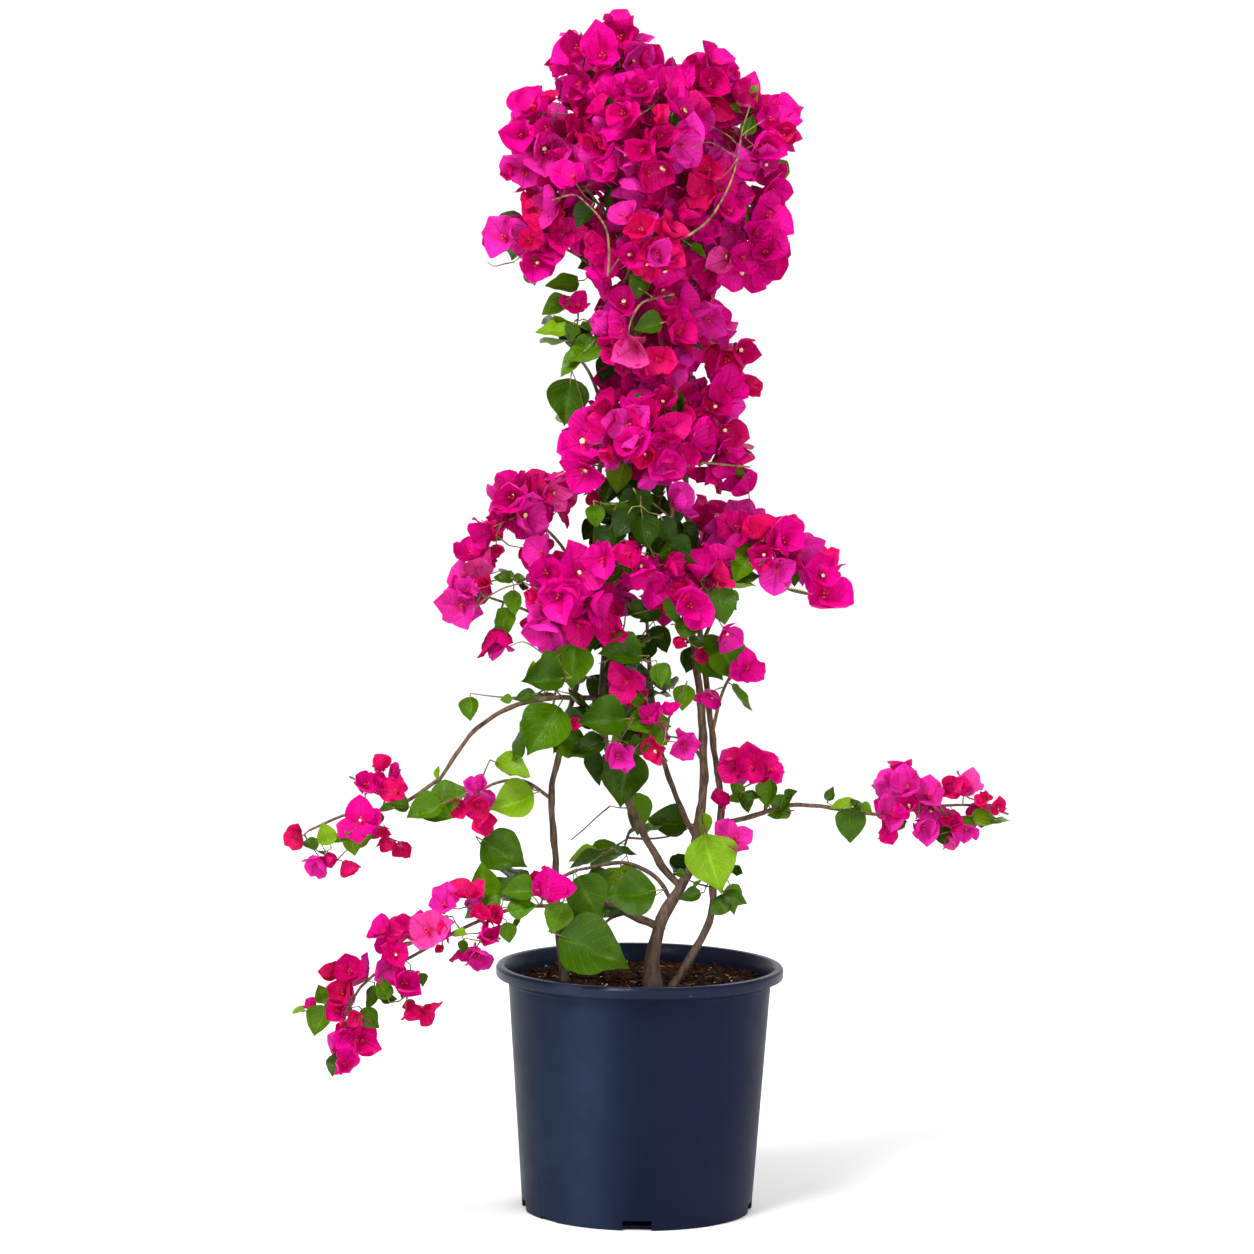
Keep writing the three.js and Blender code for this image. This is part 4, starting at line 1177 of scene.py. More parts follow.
def join_twig(mass, end):
    """Lays a twig from the nearest wood of the mass to a place."""
    away = np.linalg.norm(np.array(mass.joints) - end, axis=1)
    start, reach = mass.joints[int(away.argmin())], away.min()
    steps = max(2, round(reach / TWIG_STEP))
    way = bowed(start, end, BOW * reach * random_way(mass.rng) - SAG * reach * UP, steps)
    foot = min(THICKEST, THINNEST + THICKENS * reach / MM) * MM
    lay_tube(green_heap if reach < YOUNG_TWIG else woody_heap, way, np.linspace(foot, TWIG_TIP, steps + 1), 4)
    mass.joints.extend(way[1:-1])


# %% [markdown]
# A bloom is three bracts set round a heart at even turns, like a paper lantern. How far they open is its age: a young
# one is shut, small and crimson. One flower stands before each bract. The middle of what is seen of a bloom lies ahead
# of its heart, so the heart is set back by HEART_BACK of a bract's length.

# %% Grow one bloom, one leaf
HEART_BACK = 0.42
UNEVEN_TURN, UNEVEN_OPENING = 0.14, 0.13
BRACT_SHARES = (0.84, 1.14)
FLOWER_SHARES = (0.26, 0.42)
OPEN_FLOWERS = 0.05
STALK = 0.16
STALK_RADII = (0.8 * MM, 0.7 * MM, 0.3 * MM)


def bloom_ways(mass, facing, openness):
    """The radial and lengthwise directions of three bracts round a facing."""
    rng = mass.rng
    cross = axes_from(facing, random_way(rng))
    first = 2 * math.pi * rng.random()
    ways = []
    for k in range(3):
        turn = first + 2 * math.pi * k / 3 + rng.normal() * UNEVEN_TURN
        radial = math.cos(turn) * cross[:, 0] + math.sin(turn) * cross[:, 2]
        own = openness + rng.normal() * UNEVEN_OPENING
        ways.append((radial, unit(math.cos(own) * facing + math.sin(own) * radial)))
    return ways


def set_bloom(mass, heart, facing, ways, size, shade):
    """Three bracts round a heart, with their flowers, and the twig that bears them."""
    rng = mass.rng
    tone = rng.uniform(0.15, 0.85)
    for radial, along in ways:
        inner = facing - 0.8 * radial + 0.25 * random_way(rng)
        own = size * rng.uniform(*BRACT_SHARES)
        bract = BRACTS[rng.integers(len(BRACTS))]
        bract_heaps[shade].add(bract, axes_from(along, inner), heart, own, tone + 0.25 * rng.normal())
        flower = OPEN_FLOWER if rng.random() < OPEN_FLOWERS else SHUT_FLOWER
        turned = axes_from(unit(facing + 0.2 * radial), along)
        lie = np.column_stack([turned[:, 0], -turned[:, 2], turned[:, 1]])
        flower_heap.add(flower, lie, heart, size * rng.uniform(*FLOWER_SHARES), tone)
    join_twig(mass, heart)
    placed_hearts.append(heart)
    placed_sizes.append(size)


def set_leaf(mass, foot, along, facing, size, shade):
    """A leaf whose blade starts at foot, on its own stalk."""
    stalk_end = foot - STALK * size * unit(along)
    shape = (BROAD_LEAVES if size > BROAD_FROM else LEAVES)[mass.rng.integers(len(LEAVES))]
    leaf_heaps[shade].add(shape, axes_from(along, facing), foot, size, mass.rng.random())
    lay_tube(green_heap, [stalk_end, foot, foot + 0.1 * size * unit(along)], STALK_RADII, 4)
    join_twig(mass, stalk_end)
    placed_hearts.append(foot + 0.45 * size * unit(along))
    placed_sizes.append(0.5 * size)


# %% [markdown]
# ## The side that faces the camera
# From the front, the plant is known bloom by bloom. These lists give the place of each in the picture, its length in
# the picture's pixels and the letter of its tint. A leaf also has the direction of its tip, in degrees from the right,
# and how edge-on it is seen. A line from the camera through that pixel meets the masses of the model, and the bloom or
# leaf is set where the line enters one of them, so that it also sits on its own branch when it is seen from any other
# side. Deep leaves fill the shade between the stems, at one distance and without a letter. A twig has its bark, its
# radius at foot and tip in millimetres, and the pixels that it passes.

# %% Places on the side that faces the camera
PICTURE = 1254
FOCUS = LENS_MM / SENSOR_MM * PICTURE
# D gives the deep bracts and o the old leaves: both tints are painted shade.
LETTERS = {"M": "magenta", "H": "hot_pink", "D": "deep", "C": "crimson", "P": "pale",
           "m": "mid", "d": "dark", "l": "lime", "o": "old"}
FRONT_BLOOMS = [
    # the head
    (618, 24, 24, "M"), (620, 36, 25, "D"), (632, 32, 22, "M"), (575, 46, 28, "M"), (602, 54, 31, "M"),
    (566, 62, 22, "M"), (636, 62, 29, "H"), (576, 84, 27, "M"), (584, 104, 22, "D"), (606, 80, 22, "D"),
    (533, 104, 26, "M"), (549, 98, 15, "C"), (520, 136, 26, "M"), (546, 150, 32, "H"), (524, 176, 28, "H"),
    (510, 170, 16, "D"), (582, 136, 24, "D"), (600, 148, 28, "M"), (607, 166, 27, "M"), (572, 174, 24, "M"),
    (534, 192, 19, "C"), (560, 150, 20, "D"), (544, 214, 25, "C"), (502, 236, 27, "H"), (530, 240, 20, "C"),
    (536, 264, 27, "M"), (600, 282, 27, "M"), (632, 188, 27, "H"), (624, 214, 23, "H"), (641, 228, 25, "C"),
    (630, 254, 22, "M"), (590, 243, 23, "D"), (562, 232, 23, "D"), (640, 150, 28, "D"), (660, 74, 21, "M"),
    (680, 82, 21, "M"), (694, 64, 15, "D"), (717, 58, 25, "M"), (709, 82, 28, "D"), (730, 74, 16, "D"),
    (741, 92, 23, "D"), (684, 108, 31, "M"), (686, 146, 30, "H"), (716, 108, 23, "C"), (764, 106, 21, "D"),
    (784, 110, 27, "M"), (783, 135, 24, "C"), (764, 146, 27, "M"), (748, 166, 22, "M"), (768, 164, 21, "H"),
    (708, 168, 26, "C"), (776, 192, 29, "M"), (771, 214, 29, "M"), (702, 192, 21, "C"), (730, 212, 25, "M"),
    (757, 232, 22, "M"), (766, 250, 28, "M"), (764, 272, 20, "M"), (744, 258, 23, "M"), (725, 258, 23, "P"),
    (709, 272, 27, "D"), (686, 214, 24, "D"), (670, 230, 23, "C"), (704, 228, 22, "M"), (664, 250, 24, "C"),
    (667, 272, 28, "M"), (692, 286, 25, "H"), (655, 200, 24, "D"), (662, 170, 24, "D"), (660, 114, 15, "C"),
    (640, 88, 24, "M"), (660, 136, 24, "D"), (622, 112, 22, "D"),
    # the column under it
    (578, 303, 22, "D"), (603, 325, 25, "H"), (622, 302, 27, "M"), (662, 302, 23, "D"), (688, 306, 26, "M"),
    (707, 320, 29, "H"), (680, 332, 26, "D"), (706, 350, 30, "D"), (727, 362, 31, "C"), (742, 352, 25, "D"),
    (728, 388, 29, "M"), (750, 387, 24, "C"), (714, 404, 27, "D"), (607, 351, 16, "P"), (632, 350, 27, "P"),
    (642, 368, 20, "M"), (657, 360, 23, "C"), (677, 370, 19, "C"), (690, 360, 20, "M"), (620, 388, 29, "M"),
    (652, 382, 15, "C"), (692, 404, 26, "M"), (707, 409, 15, "C"), (628, 426, 31, "H"), (697, 434, 31, "M"),
    (668, 430, 24, "D"), (726, 432, 24, "D"), (731, 452, 21, "M"), (585, 440, 33, "M"), (582, 472, 31, "M"),
    (592, 498, 17, "C"), (645, 456, 23, "C"), (654, 478, 29, "H"), (668, 462, 23, "M"), (683, 456, 22, "D"),
    (610, 452, 15, "C"), (683, 500, 27, "H"), (710, 480, 25, "D"), (716, 505, 24, "D"), (741, 484, 28, "M"),
    (700, 520, 24, "D"), (734, 462, 16, "M"), (566, 510, 20, "D"), (640, 396, 26, "M"), (664, 402, 25, "D"),
    (608, 404, 22, "D"), (680, 388, 24, "M"), (648, 414, 24, "D"), (614, 376, 24, "M"), (666, 446, 22, "M"),
    # the skirt, left
    (527, 518, 32, "H"), (511, 496, 31, "M"), (536, 490, 24, "D"), (482, 533, 25, "M"), (470, 551, 25, "M"),
    (496, 549, 13, "C"), (484, 582, 17, "C"), (467, 589, 16, "H"), (460, 606, 28, "H"), (497, 646, 25, "H"),
    (524, 553, 14, "C"), (545, 543, 13, "C"), (545, 572, 27, "M"), (532, 597, 15, "C"), (556, 596, 29, "M"),
    (582, 574, 31, "M"), (547, 632, 31, "H"), (616, 602, 28, "H"), (612, 632, 27, "D"), (579, 626, 23, "D"),
    (628, 553, 20, "D"), (648, 578, 26, "M"), (601, 560, 23, "M"), (566, 600, 26, "M"), (598, 604, 24, "M"),
    # the skirt, right
    (726, 545, 32, "H"), (737, 526, 25, "D"), (759, 530, 25, "C"), (784, 540, 33, "M"), (776, 572, 27, "H"),
    (798, 563, 15, "D"), (822, 557, 21, "C"), (826, 591, 31, "M"), (720, 576, 23, "C"), (700, 567, 28, "M"),
    (674, 564, 25, "D"), (681, 592, 21, "C"), (690, 606, 27, "M"), (656, 590, 25, "M"), (729, 637, 23, "H"),
    (749, 668, 22, "M"), (704, 655, 14, "C"), (680, 641, 13, "C"), (763, 556, 18, "D"), (640, 566, 20, "M"),
    # the stems and the arches
    (573, 724, 13, "C"), (618, 757, 27, "H"), (549, 890, 31, "M"), (493, 916, 22, "C"), (625, 684, 24, "D"),
    (649, 716, 21, "M"), (668, 710, 15, "M"), (654, 750, 23, "C"), (684, 746, 24, "H"), (711, 698, 21, "M"),
    (733, 766, 22, "D"), (750, 768, 24, "D"), (770, 769, 21, "D"), (722, 800, 21, "D"), (737, 836, 23, "H"),
    # the high left spray
    (295, 836, 21, "C"), (318, 865, 24, "H"), (329, 858, 15, "D"), (348, 868, 19, "C"), (367, 784, 26, "M"),
    (379, 780, 14, "D"), (382, 764, 17, "C"), (395, 790, 20, "C"), (361, 818, 29, "M"), (384, 831, 14, "C"),
    (385, 844, 17, "C"), (400, 848, 18, "C"), (477, 786, 17, "H"), (458, 808, 18, "C"), (477, 804, 18, "C"),
    (484, 820, 23, "C"),
    # the low left spray
    (466, 888, 26, "C"), (443, 903, 25, "H"), (426, 929, 31, "P"), (381, 930, 23, "M"), (400, 932, 27, "D"),
    (396, 953, 21, "D"), (443, 929, 10, "C"), (440, 949, 10, "C"), (480, 915, 17, "C"), (488, 934, 25, "M"),
    (477, 957, 25, "H"), (405, 982, 30, "M"), (408, 1005, 14, "C"), (413, 1012, 20, "C"), (430, 1012, 22, "C"),
    (350, 970, 22, "D"), (332, 972, 19, "C"), (341, 992, 27, "C"), (336, 1012, 23, "D"), (311, 1005, 13, "D"),
    (355, 1020, 14, "C"), (345, 1035, 19, "M"), (363, 1042, 24, "D"), (344, 1064, 26, "M"),
    # the right spray
    (888, 774, 24, "H"), (900, 765, 20, "D"), (906, 786, 30, "H"), (927, 792, 28, "H"), (908, 804, 21, "M"),
    (893, 813, 21, "H"), (889, 830, 20, "D"), (924, 827, 26, "H"), (948, 787, 21, "C"), (960, 789, 18, "D"),
    (969, 784, 23, "P"), (985, 799, 16, "C"), (999, 807, 13, "C"), (945, 819, 12, "C"), (955, 823, 15, "D"),
    (965, 833, 19, "H"), (951, 841, 17, "P"),
]
FRONT_LEAVES = [
    # the head and the column
    (748, 98, 31, 60, 0.1, "l"), (731, 110, 18, 170, 0.5, "l"), (748, 125, 20, 80, 0.3, "d"),
    (745, 221, 38, 268, 0.7, "m"), (562, 282, 34, 185, 0.3, "m"), (606, 200, 34, 262, 0.7, "o"),
    (610, 106, 18, 100, 0.2, "o"), (592, 262, 30, 200, 0.2, "d"), (640, 286, 26, 250, 0.2, "d"),
    (699, 250, 20, -30, 0.6, "m"), (583, 216, 26, 230, 0.2, "o"), (668, 126, 26, 250, 0.2, "o"),
    (554, 305, 30, 205, 0.3, "m"), (551, 328, 32, 188, 0.4, "l"), (571, 331, 18, 250, 0.2, "d"),
    (582, 350, 44, 205, 0.3, "m"), (570, 363, 32, 220, 0.5, "m"), (567, 402, 48, 262, 0.1, "d"),
    (648, 325, 28, 190, 0.0, "d"), (679, 384, 36, 195, 0.4, "l"), (674, 407, 30, 262, 0.2, "d"),
    (606, 370, 26, 250, 0.2, "o"), (635, 405, 24, 180, 0.4, "d"), (619, 478, 30, 258, 0.1, "l"),
    (642, 504, 28, 300, 0.1, "o"), (735, 465, 30, 0, 0.8, "l"), (596, 516, 24, 280, 0.2, "m"),
    (645, 532, 34, 280, 0.1, "o"), (622, 524, 30, 240, 0.1, "o"), (606, 540, 30, 250, 0.1, "o"),
    (628, 500, 24, 210, 0.3, "o"), (668, 530, 26, 300, 0.1, "o"), (683, 545, 24, 320, 0.1, "o"),
    # the skirt
    (537, 538, 24, 170, 0.5, "m"), (504, 576, 21, 180, 0.3, "d"), (520, 578, 14, 0, 0.3, "d"),
    (513, 603, 25, 268, 0.4, "m"), (502, 623, 32, 250, 0.4, "m"), (566, 648, 41, 245, 0.0, "m"),
    (548, 664, 26, 220, 0.1, "m"), (535, 672, 22, 100, 0.1, "l"), (543, 680, 44, 185, 0.2, "d"),
    (573, 667, 46, 268, 0.1, "m"), (620, 655, 45, 178, 0.2, "d"), (562, 572, 17, 20, 0.5, "m"),
    (609, 576, 29, 200, 0.5, "m"), (622, 552, 17, 120, 0.3, "l"), (631, 568, 19, -20, 0.5, "l"),
    (584, 650, 20, 270, 0.2, "d"), (638, 612, 24, 330, 0.2, "d"), (722, 606, 37, 282, 0.1, "d"),
    (745, 561, 20, 10, 0.1, "d"), (740, 584, 30, 15, 0.7, "l"), (750, 575, 22, 10, 0.6, "d"),
    (714, 643, 25, 20, 0.2, "d"), (731, 662, 46, 302, 0.1, "m"), (710, 668, 34, 330, 0.3, "m"),
    (794, 580, 13, 280, 0.2, "d"), (670, 610, 28, 268, 0.6, "m"), (650, 612, 24, 200, 0.3, "d"),
    (661, 675, 24, 290, 0.3, "m"), (690, 625, 30, 0, 0.3, "d"), (600, 640, 24, 240, 0.1, "d"),
    # the stems
    (543, 731, 58, 238, 0.0, "m"), (602, 721, 50, 185, 0.0, "d"), (588, 745, 34, 190, 0.4, "o"),
    (623, 779, 58, 262, 0.0, "d"), (595, 768, 36, 268, 0.7, "o"), (513, 769, 38, -20, 0.6, "l"),
    (511, 800, 48, 196, 0.1, "l"), (505, 853, 52, -28, 0.2, "d"), (518, 890, 32, 180, 0.2, "m"),
    (522, 905, 30, 10, 0.3, "m"), (557, 918, 34, 250, 0.0, "m"), (590, 898, 50, -58, 0.1, "d"),
    (628, 893, 56, 185, 0.1, "d"), (595, 948, 76, -18, 0.0, "d"), (508, 933, 21, 280, 0.0, "m"),
    (585, 858, 36, 195, 0.7, "d"), (624, 847, 22, 10, 0.8, "d"), (639, 814, 42, 282, 0.5, "m"),
    (525, 694, 20, 180, 0.4, "d"), (506, 699, 12, 180, 0.2, "m"), (470, 709, 24, 270, 0.2, "m"),
    (600, 874, 24, 20, 0.5, "d"), (713, 864, 62, 286, 0.0, "l"), (668, 820, 40, 170, 0.1, "d"),
    (684, 698, 26, 260, 0.2, "m"), (656, 736, 28, -30, 0.2, "m"), (690, 895, 22, 190, 0.4, "d"),
    (736, 897, 26, -20, 0.4, "d"), (719, 906, 25, 215, 0.3, "d"), (682, 873, 12, 0, 0.3, "d"),
    (745, 692, 30, -28, 0.8, "m"), (735, 800, 17, 180, 0.4, "m"), (747, 803, 20, 290, 0.3, "d"),
    (768, 794, 28, 265, 0.4, "m"), (737, 789, 20, 120, 0.4, "m"), (753, 794, 18, -10, 0.6, "d"),
    (783, 803, 24, 40, 0.3, "m"), (779, 812, 24, 185, 0.5, "m"), (791, 794, 14, 30, 0.3, "d"),
    (705, 826, 26, 280, 0.6, "l"), (633, 694, 26, 160, 0.2, "m"), (637, 745, 22, 100, 0.2, "d"),
    (640, 725, 26, 190, 0.3, "m"),
    # the sprays
    (448, 793, 42, 22, 0.2, "m"), (424, 810, 38, 200, 0.2, "m"), (436, 812, 34, -20, 0.2, "m"),
    (398, 805, 22, 170, 0.2, "m"), (326, 834, 24, 110, 0.1, "l"), (353, 845, 22, 280, 0.1, "l"),
    (310, 843, 18, 180, 0.4, "d"), (362, 838, 20, 40, 0.4, "l"), (376, 820, 18, 240, 0.3, "d"),
    (437, 772, 13, 90, 0.6, "l"), (386, 808, 13, 180, 0.4, "d"), (340, 836, 16, 200, 0.3, "m"),
    (484, 880, 34, 95, 0.1, "m"), (488, 903, 26, 200, 0.3, "m"), (384, 988, 24, 110, 0.2, "m"),
    (388, 997, 16, 10, 0.3, "d"), (319, 1021, 32, 250, 0.1, "m"), (322, 994, 20, 110, 0.2, "m"),
    (371, 1018, 26, -42, 0.3, "d"), (422, 980, 14, 290, 0.4, "d"), (459, 934, 14, 180, 0.5, "l"),
    (298, 1011, 14, 180, 0.6, "l"), (463, 947, 14, 260, 0.4, "d"), (829, 794, 14, 80, 0.4, "d"),
    (844, 800, 25, 172, 0.5, "l"), (851, 825, 36, 272, 0.0, "d"), (858, 804, 14, 120, 0.3, "d"),
    (867, 808, 14, -30, 0.3, "m"), (946, 833, 24, 20, 0.4, "d"), (967, 820, 18, 150, 0.3, "m"),
    (986, 815, 28, 5, 0.4, "l"), (901, 823, 13, 30, 0.3, "d"), (1002, 818, 20, 5, 0.8, "m"),
]
DEEP_LEAVES = [
    (608, 492, 30, 250), (632, 496, 32, 290), (655, 508, 30, 240), (676, 512, 30, 280), (602, 512, 32, 200),
    (624, 516, 34, 262), (646, 520, 34, 300), (668, 530, 32, 250), (690, 534, 28, 310), (610, 532, 32, 230),
    (636, 536, 34, 275), (658, 546, 30, 220), (682, 548, 30, 290), (600, 548, 28, 260), (590, 530, 24, 240),
    (575, 190, 24, 250), (585, 205, 26, 280), (568, 214, 24, 230), (592, 640, 30, 250), (612, 668, 34, 280),
    (640, 650, 32, 240), (660, 640, 30, 290), (690, 660, 28, 260), (640, 690, 30, 220), (600, 690, 34, 250),
]
DEEP_AT = 12 * MM
FRONT_TWIGS = [
    ("green", 1.2, 0.6, ((688, 236), (707, 222), (722, 200), (733, 176), (739, 150), (743, 128), (750, 106))),
    ("woody", 0.8, 0.5, ((738, 158), (728, 152), (708, 142), (692, 148))),
    ("woody", 0.8, 0.5, ((739, 147), (730, 137), (718, 130), (706, 124))),
    ("green", 1.0, 0.5, ((741, 136), (752, 128), (764, 120))),
    ("woody", 1.3, 0.7, ((608, 276), (609, 250), (607, 232), (600, 218), (588, 205), (575, 195), (552, 200))),
    ("woody", 0.8, 0.4, ((514, 262), (504, 264), (494, 266), (487, 262))),
    ("woody", 1.4, 0.8, ((674, 294), (656, 298), (642, 303), (632, 318), (628, 334))),
    ("woody", 0.8, 0.5, ((652, 297), (644, 291), (638, 288))),
    ("green", 1.4, 0.9, ((684, 466), (705, 463), (728, 465), (750, 467))),
    ("woody", 0.9, 0.6, ((522, 583), (504, 588), (488, 597), (472, 611))),
    ("green", 0.7, 0.5, ((545, 655), (524, 642), (510, 646))),
    ("green", 0.8, 0.6, ((784, 588), (798, 590), (812, 594))),
    ("woody", 0.8, 0.6, ((610, 806), (598, 816), (584, 829), (571, 840))),
]
TWIG_LIFT = 10 * MM
print("blooms seen:", len(FRONT_BLOOMS), "leaves seen:", len(FRONT_LEAVES), "twigs seen:", len(FRONT_TWIGS))


# %% From the picture to the plant and back
def seen_at(across, down, far):
    """The place behind a pixel of the picture that lies at a distance Y from the middle of the plant."""
    way = np.array(aim.to_3x3() @ Vector(((across - PICTURE / 2) / FOCUS, (PICTURE / 2 - down) / FOCUS, -1)))
    return np.array(EYE) + way * (far - EYE.y) / way[1]


into_view = np.array((Matrix.Translation(EYE) @ aim).inverted())


def in_picture(place):
    """The pixel that shows a place."""
    x, y, z = (into_view @ np.append(place, 1))[:3]
    return np.array((PICTURE / 2 - FOCUS * x / z, PICTURE / 2 + FOCUS * y / z))


FRONT_DEPTH = 0.74
DISTANCES = np.linspace(-0.19, 0.15, 69)


def meet_mass(across, down):
    """Where the line through a pixel enters a mass, and that mass."""
    reach = [seen_at(across, down, far) for far in DISTANCES]
    table = np.array([depths(place) for place in reach])
    nearest = table.min(axis=1)
    inside = np.nonzero(nearest < FRONT_DEPTH)[0]
    step = int(inside[0]) if len(inside) else int(nearest.argmin())
    return reach[step], masses[int(table[step].argmin())]


# %% [markdown]
# A bloom faces away from the middle of its mass and a little towards the camera. Each bloom and leaf that is set is
# also kept as a disc of the picture, with the distance from which it hides what is grown later. A leaf among blooms
# lies a little behind them.

# %% Set the blooms and leaves that are seen
def real_length(length, place):
    """A length in the picture's pixels, at a place, in metres."""
    return length / FOCUS * (place[1] - EYE.y) / math.cos(TILT_DOWN)


LEAF_SETBACK = 13 * MM
YOUNG_BELOW = 18
YOUNG_OPENING, GROWN_OPENING = (18, 34), (26, 52)
BLOOM_DISC, BLOOM_FRONT = 0.66, 60 * MM
LEAF_DISC, LEAF_BACK = 0.45, 4 * MM
BLOOM_SHARE = {HEAD: 1.04, COLUMN: 1.02, SKIRT: 1.04, LEAFY: 1.0, SPRAY: 0.95}
seen_blooms, seen_leaves = [], []
for across, down, length, letter in FRONT_BLOOMS:
    place, mass = meet_mass(across, down)
    rng = mass.rng
    size = BLOOM_SHARE[mass.kind] * real_length(length, place)
    middle = mass.centres[int((np.linalg.norm(mass.centres - place, axis=1) / mass.radii).argmin())]
    facing = unit(unit(place - middle) * (1, 0.6, 1) + 0.5 * VIEWER + 0.42 * random_way(rng) + 0.1 * UP)
    openness = math.radians(rng.uniform(*(YOUNG_OPENING if length < YOUNG_BELOW else GROWN_OPENING)))
    set_bloom(mass, place - HEART_BACK * size * facing, facing, bloom_ways(mass, facing, openness), size,
              LETTERS[letter])
    seen_blooms.append((across, down, BLOOM_DISC * length, place[1] - BLOOM_FRONT))
seen_blooms = np.array(seen_blooms)
for across, down, length, degrees, edge_on, letter in FRONT_LEAVES:
    middle, mass = meet_mass(across, down)
    if (np.linalg.norm(seen_blooms[:, :2] - (across, down), axis=1) < seen_blooms[:, 2] + 0.25 * length).any():
        middle = seen_at(across, down, middle[1] + LEAF_SETBACK)
    rng = mass.rng
    size = real_length(length, middle)
    turn = math.radians(degrees)
    along = unit(np.array((math.cos(turn), -0.15, math.sin(turn))))
    aside = np.cross(along, VIEWER)
    facing = unit((1 - edge_on) * VIEWER + edge_on * aside * (1 if aside[2] > 0 else -1) + 0.35 * UP
                  + 0.15 * random_way(rng))
    set_leaf(mass, middle - 0.5 * size * along, along, facing, size, LETTERS[letter])
    seen_leaves.append((across, down, LEAF_DISC * length, middle[1] + LEAF_BACK))
seen_leaves = np.array(seen_leaves)
print("set", len(seen_blooms), "blooms and", len(seen_leaves), "leaves that are seen")

# %% Set the leaves in the shade, and the twigs
for across, down, length, degrees in DEEP_LEAVES:
    place = seen_at(across, down, DEEP_AT)
    mass = masses[int(depths(place).argmin())]
    turn = math.radians(degrees)
    place = seen_at(across, down, DEEP_AT + mass.rng.uniform(-14, 20) * MM)
    along = unit(np.array((math.cos(turn), mass.rng.uniform(-0.5, 0.5), math.sin(turn))))
    size = real_length(length, place)
    # Deep leaves take the old tint, a darker green that is painted shade.
    set_leaf(mass, place - 0.5 * size * along, along, VIEWER + 0.6 * random_way(mass.rng), size, "old")
for colour, foot, tip, pixels in FRONT_TWIGS:
    met = [meet_mass(*pixel) for pixel in pixels]
    near = np.array([place[1] for place, _ in met]) - TWIG_LIFT
    near = np.minimum(near, 0.5 * (np.append(near[1:], near[-1]) + np.append(near[0], near[:-1])))
    way = Line([seen_at(*pixel, far) for pixel, far in zip(pixels, near)], 6).points
    heap = green_heap if colour == "green" else woody_heap
    lay_tube(heap, way, np.linspace(foot, tip, len(way)) * MM, 6)
    join_twig(met[0][1], way[0])
print("deep leaves:", len(DEEP_LEAVES), "twigs:", len(FRONT_TWIGS))

# %% [markdown]
# ## The rest of the plant
# Behind and around those, each mass is filled by rule. Places are spread evenly over shells round the mass, and one is
# used if it lies in the mass's own space, clear of stems and pot, not too near another bloom, and if the blooms that
# are seen cover it in the picture: a bloom goes behind blooms, and a leaf behind leaves or blooms. So the gaps through
# which the light shows stay open. Only the dense inner parts, listed as discs in the picture, are also closed by blooms
# and leaves that stand further back, in the shade of the others.

# %% Where the picture is covered
FRONT_OF_HIDDEN = -30 * MM
INNER_BLOOMS = [
    (598, 108, 44), (572, 205, 34), (560, 238, 26), (625, 190, 50), (668, 120, 34), (700, 180, 48), (600, 165, 50),
    (725, 160, 28), (745, 152, 18), (752, 192, 22), (704, 100, 22), (640, 250, 50), (690, 250, 36), (630, 330, 40),
    (680, 340, 44), (640, 396, 40), (660, 400, 48), (650, 455, 40), (690, 455, 26), (600, 590, 44), (650, 585, 36)]
INNER_LEAVES = [
    (640, 512, 34), (618, 536, 24), (672, 536, 24), (600, 655, 40), (560, 690, 34), (650, 640, 30), (640, 700, 36),
    (563, 738, 22), (636, 745, 24), (705, 640, 24), (590, 905, 44), (545, 905, 22)]
inner_blooms, inner_leaves = (
    np.array([(*disc, FRONT_OF_HIDDEN) for disc in discs]) for discs in (INNER_BLOOMS, INNER_LEAVES))
COVER_SPARE = 4
print("dense parts:", len(inner_blooms), "of blooms and", len(inner_leaves), "of leaves")


def is_covered(tips, covers):
    """Whether discs of the picture hide these places, each disc given by its middle, radius and distance Y."""
    for tip in tips:
        nearer = covers[covers[:, 3] < tip[1]]
        away = np.linalg.norm(nearer[:, :2] - in_picture(tip), axis=1)
        if not len(nearer) or (away - nearer[:, 2]).min() > COVER_SPARE:
            return False
    return True


# %% Try a bloom or a leaf
FILL_OPENING = (28, 54)
LEAF_CLOSENESS = 0.45


def shade_of(mass, mix, names):
    """A tint dealt out by its share of the mix."""
    return names[mass.rng.choice(len(names), p=mix)]


def try_bloom(mass, heart, facing, size, shade, closeness):
    """Sets a bloom if its place passes every test."""
    facing = unit(facing)
    ways = bloom_ways(mass, facing, math.radians(mass.rng.uniform(*FILL_OPENING)))
    heart = heart - HEART_BACK * size * facing
    tips = [heart, *(heart + 0.9 * size * along for _, along in ways)]
    if is_crowded(heart, size, closeness) or not is_in_own_space(mass, heart, tips):
        return
    hidden = is_covered(tips, inner_blooms) or is_covered(tips, seen_blooms)
    if hidden and is_outside_wood_and_pot(tips):
        set_bloom(mass, heart, facing, ways, size, shade)


def try_leaf(mass, foot, along, facing, size, shade):
    """Sets a leaf if its place passes every test."""
    along = unit(along)
    tips = [foot, foot + 0.5 * size * along, foot + 0.95 * size * along]
    if is_crowded(tips[1], 0.5 * size, LEAF_CLOSENESS) or not is_in_own_space(mass, foot, tips[1:]):
        return
    aside = 0.3 * size * unit(np.cross(along, facing))
    tips += [foot + 0.4 * size * along - aside, foot + 0.4 * size * along + aside]
    hidden = is_covered(tips, inner_leaves) or is_covered(tips, seen_leaves) or is_covered(tips, seen_blooms)
    if hidden and is_outside_wood_and_pot(tips):
        set_leaf(mass, foot, along, facing, size, shade)


# %% [markdown]
# A lobe is filled in two shells, each with its blooms for each large bloom of the solids and its reach, from the
# outside in. In the head and the column, blooms hide nearly every leaf from the front, so leaves grow only at the back.

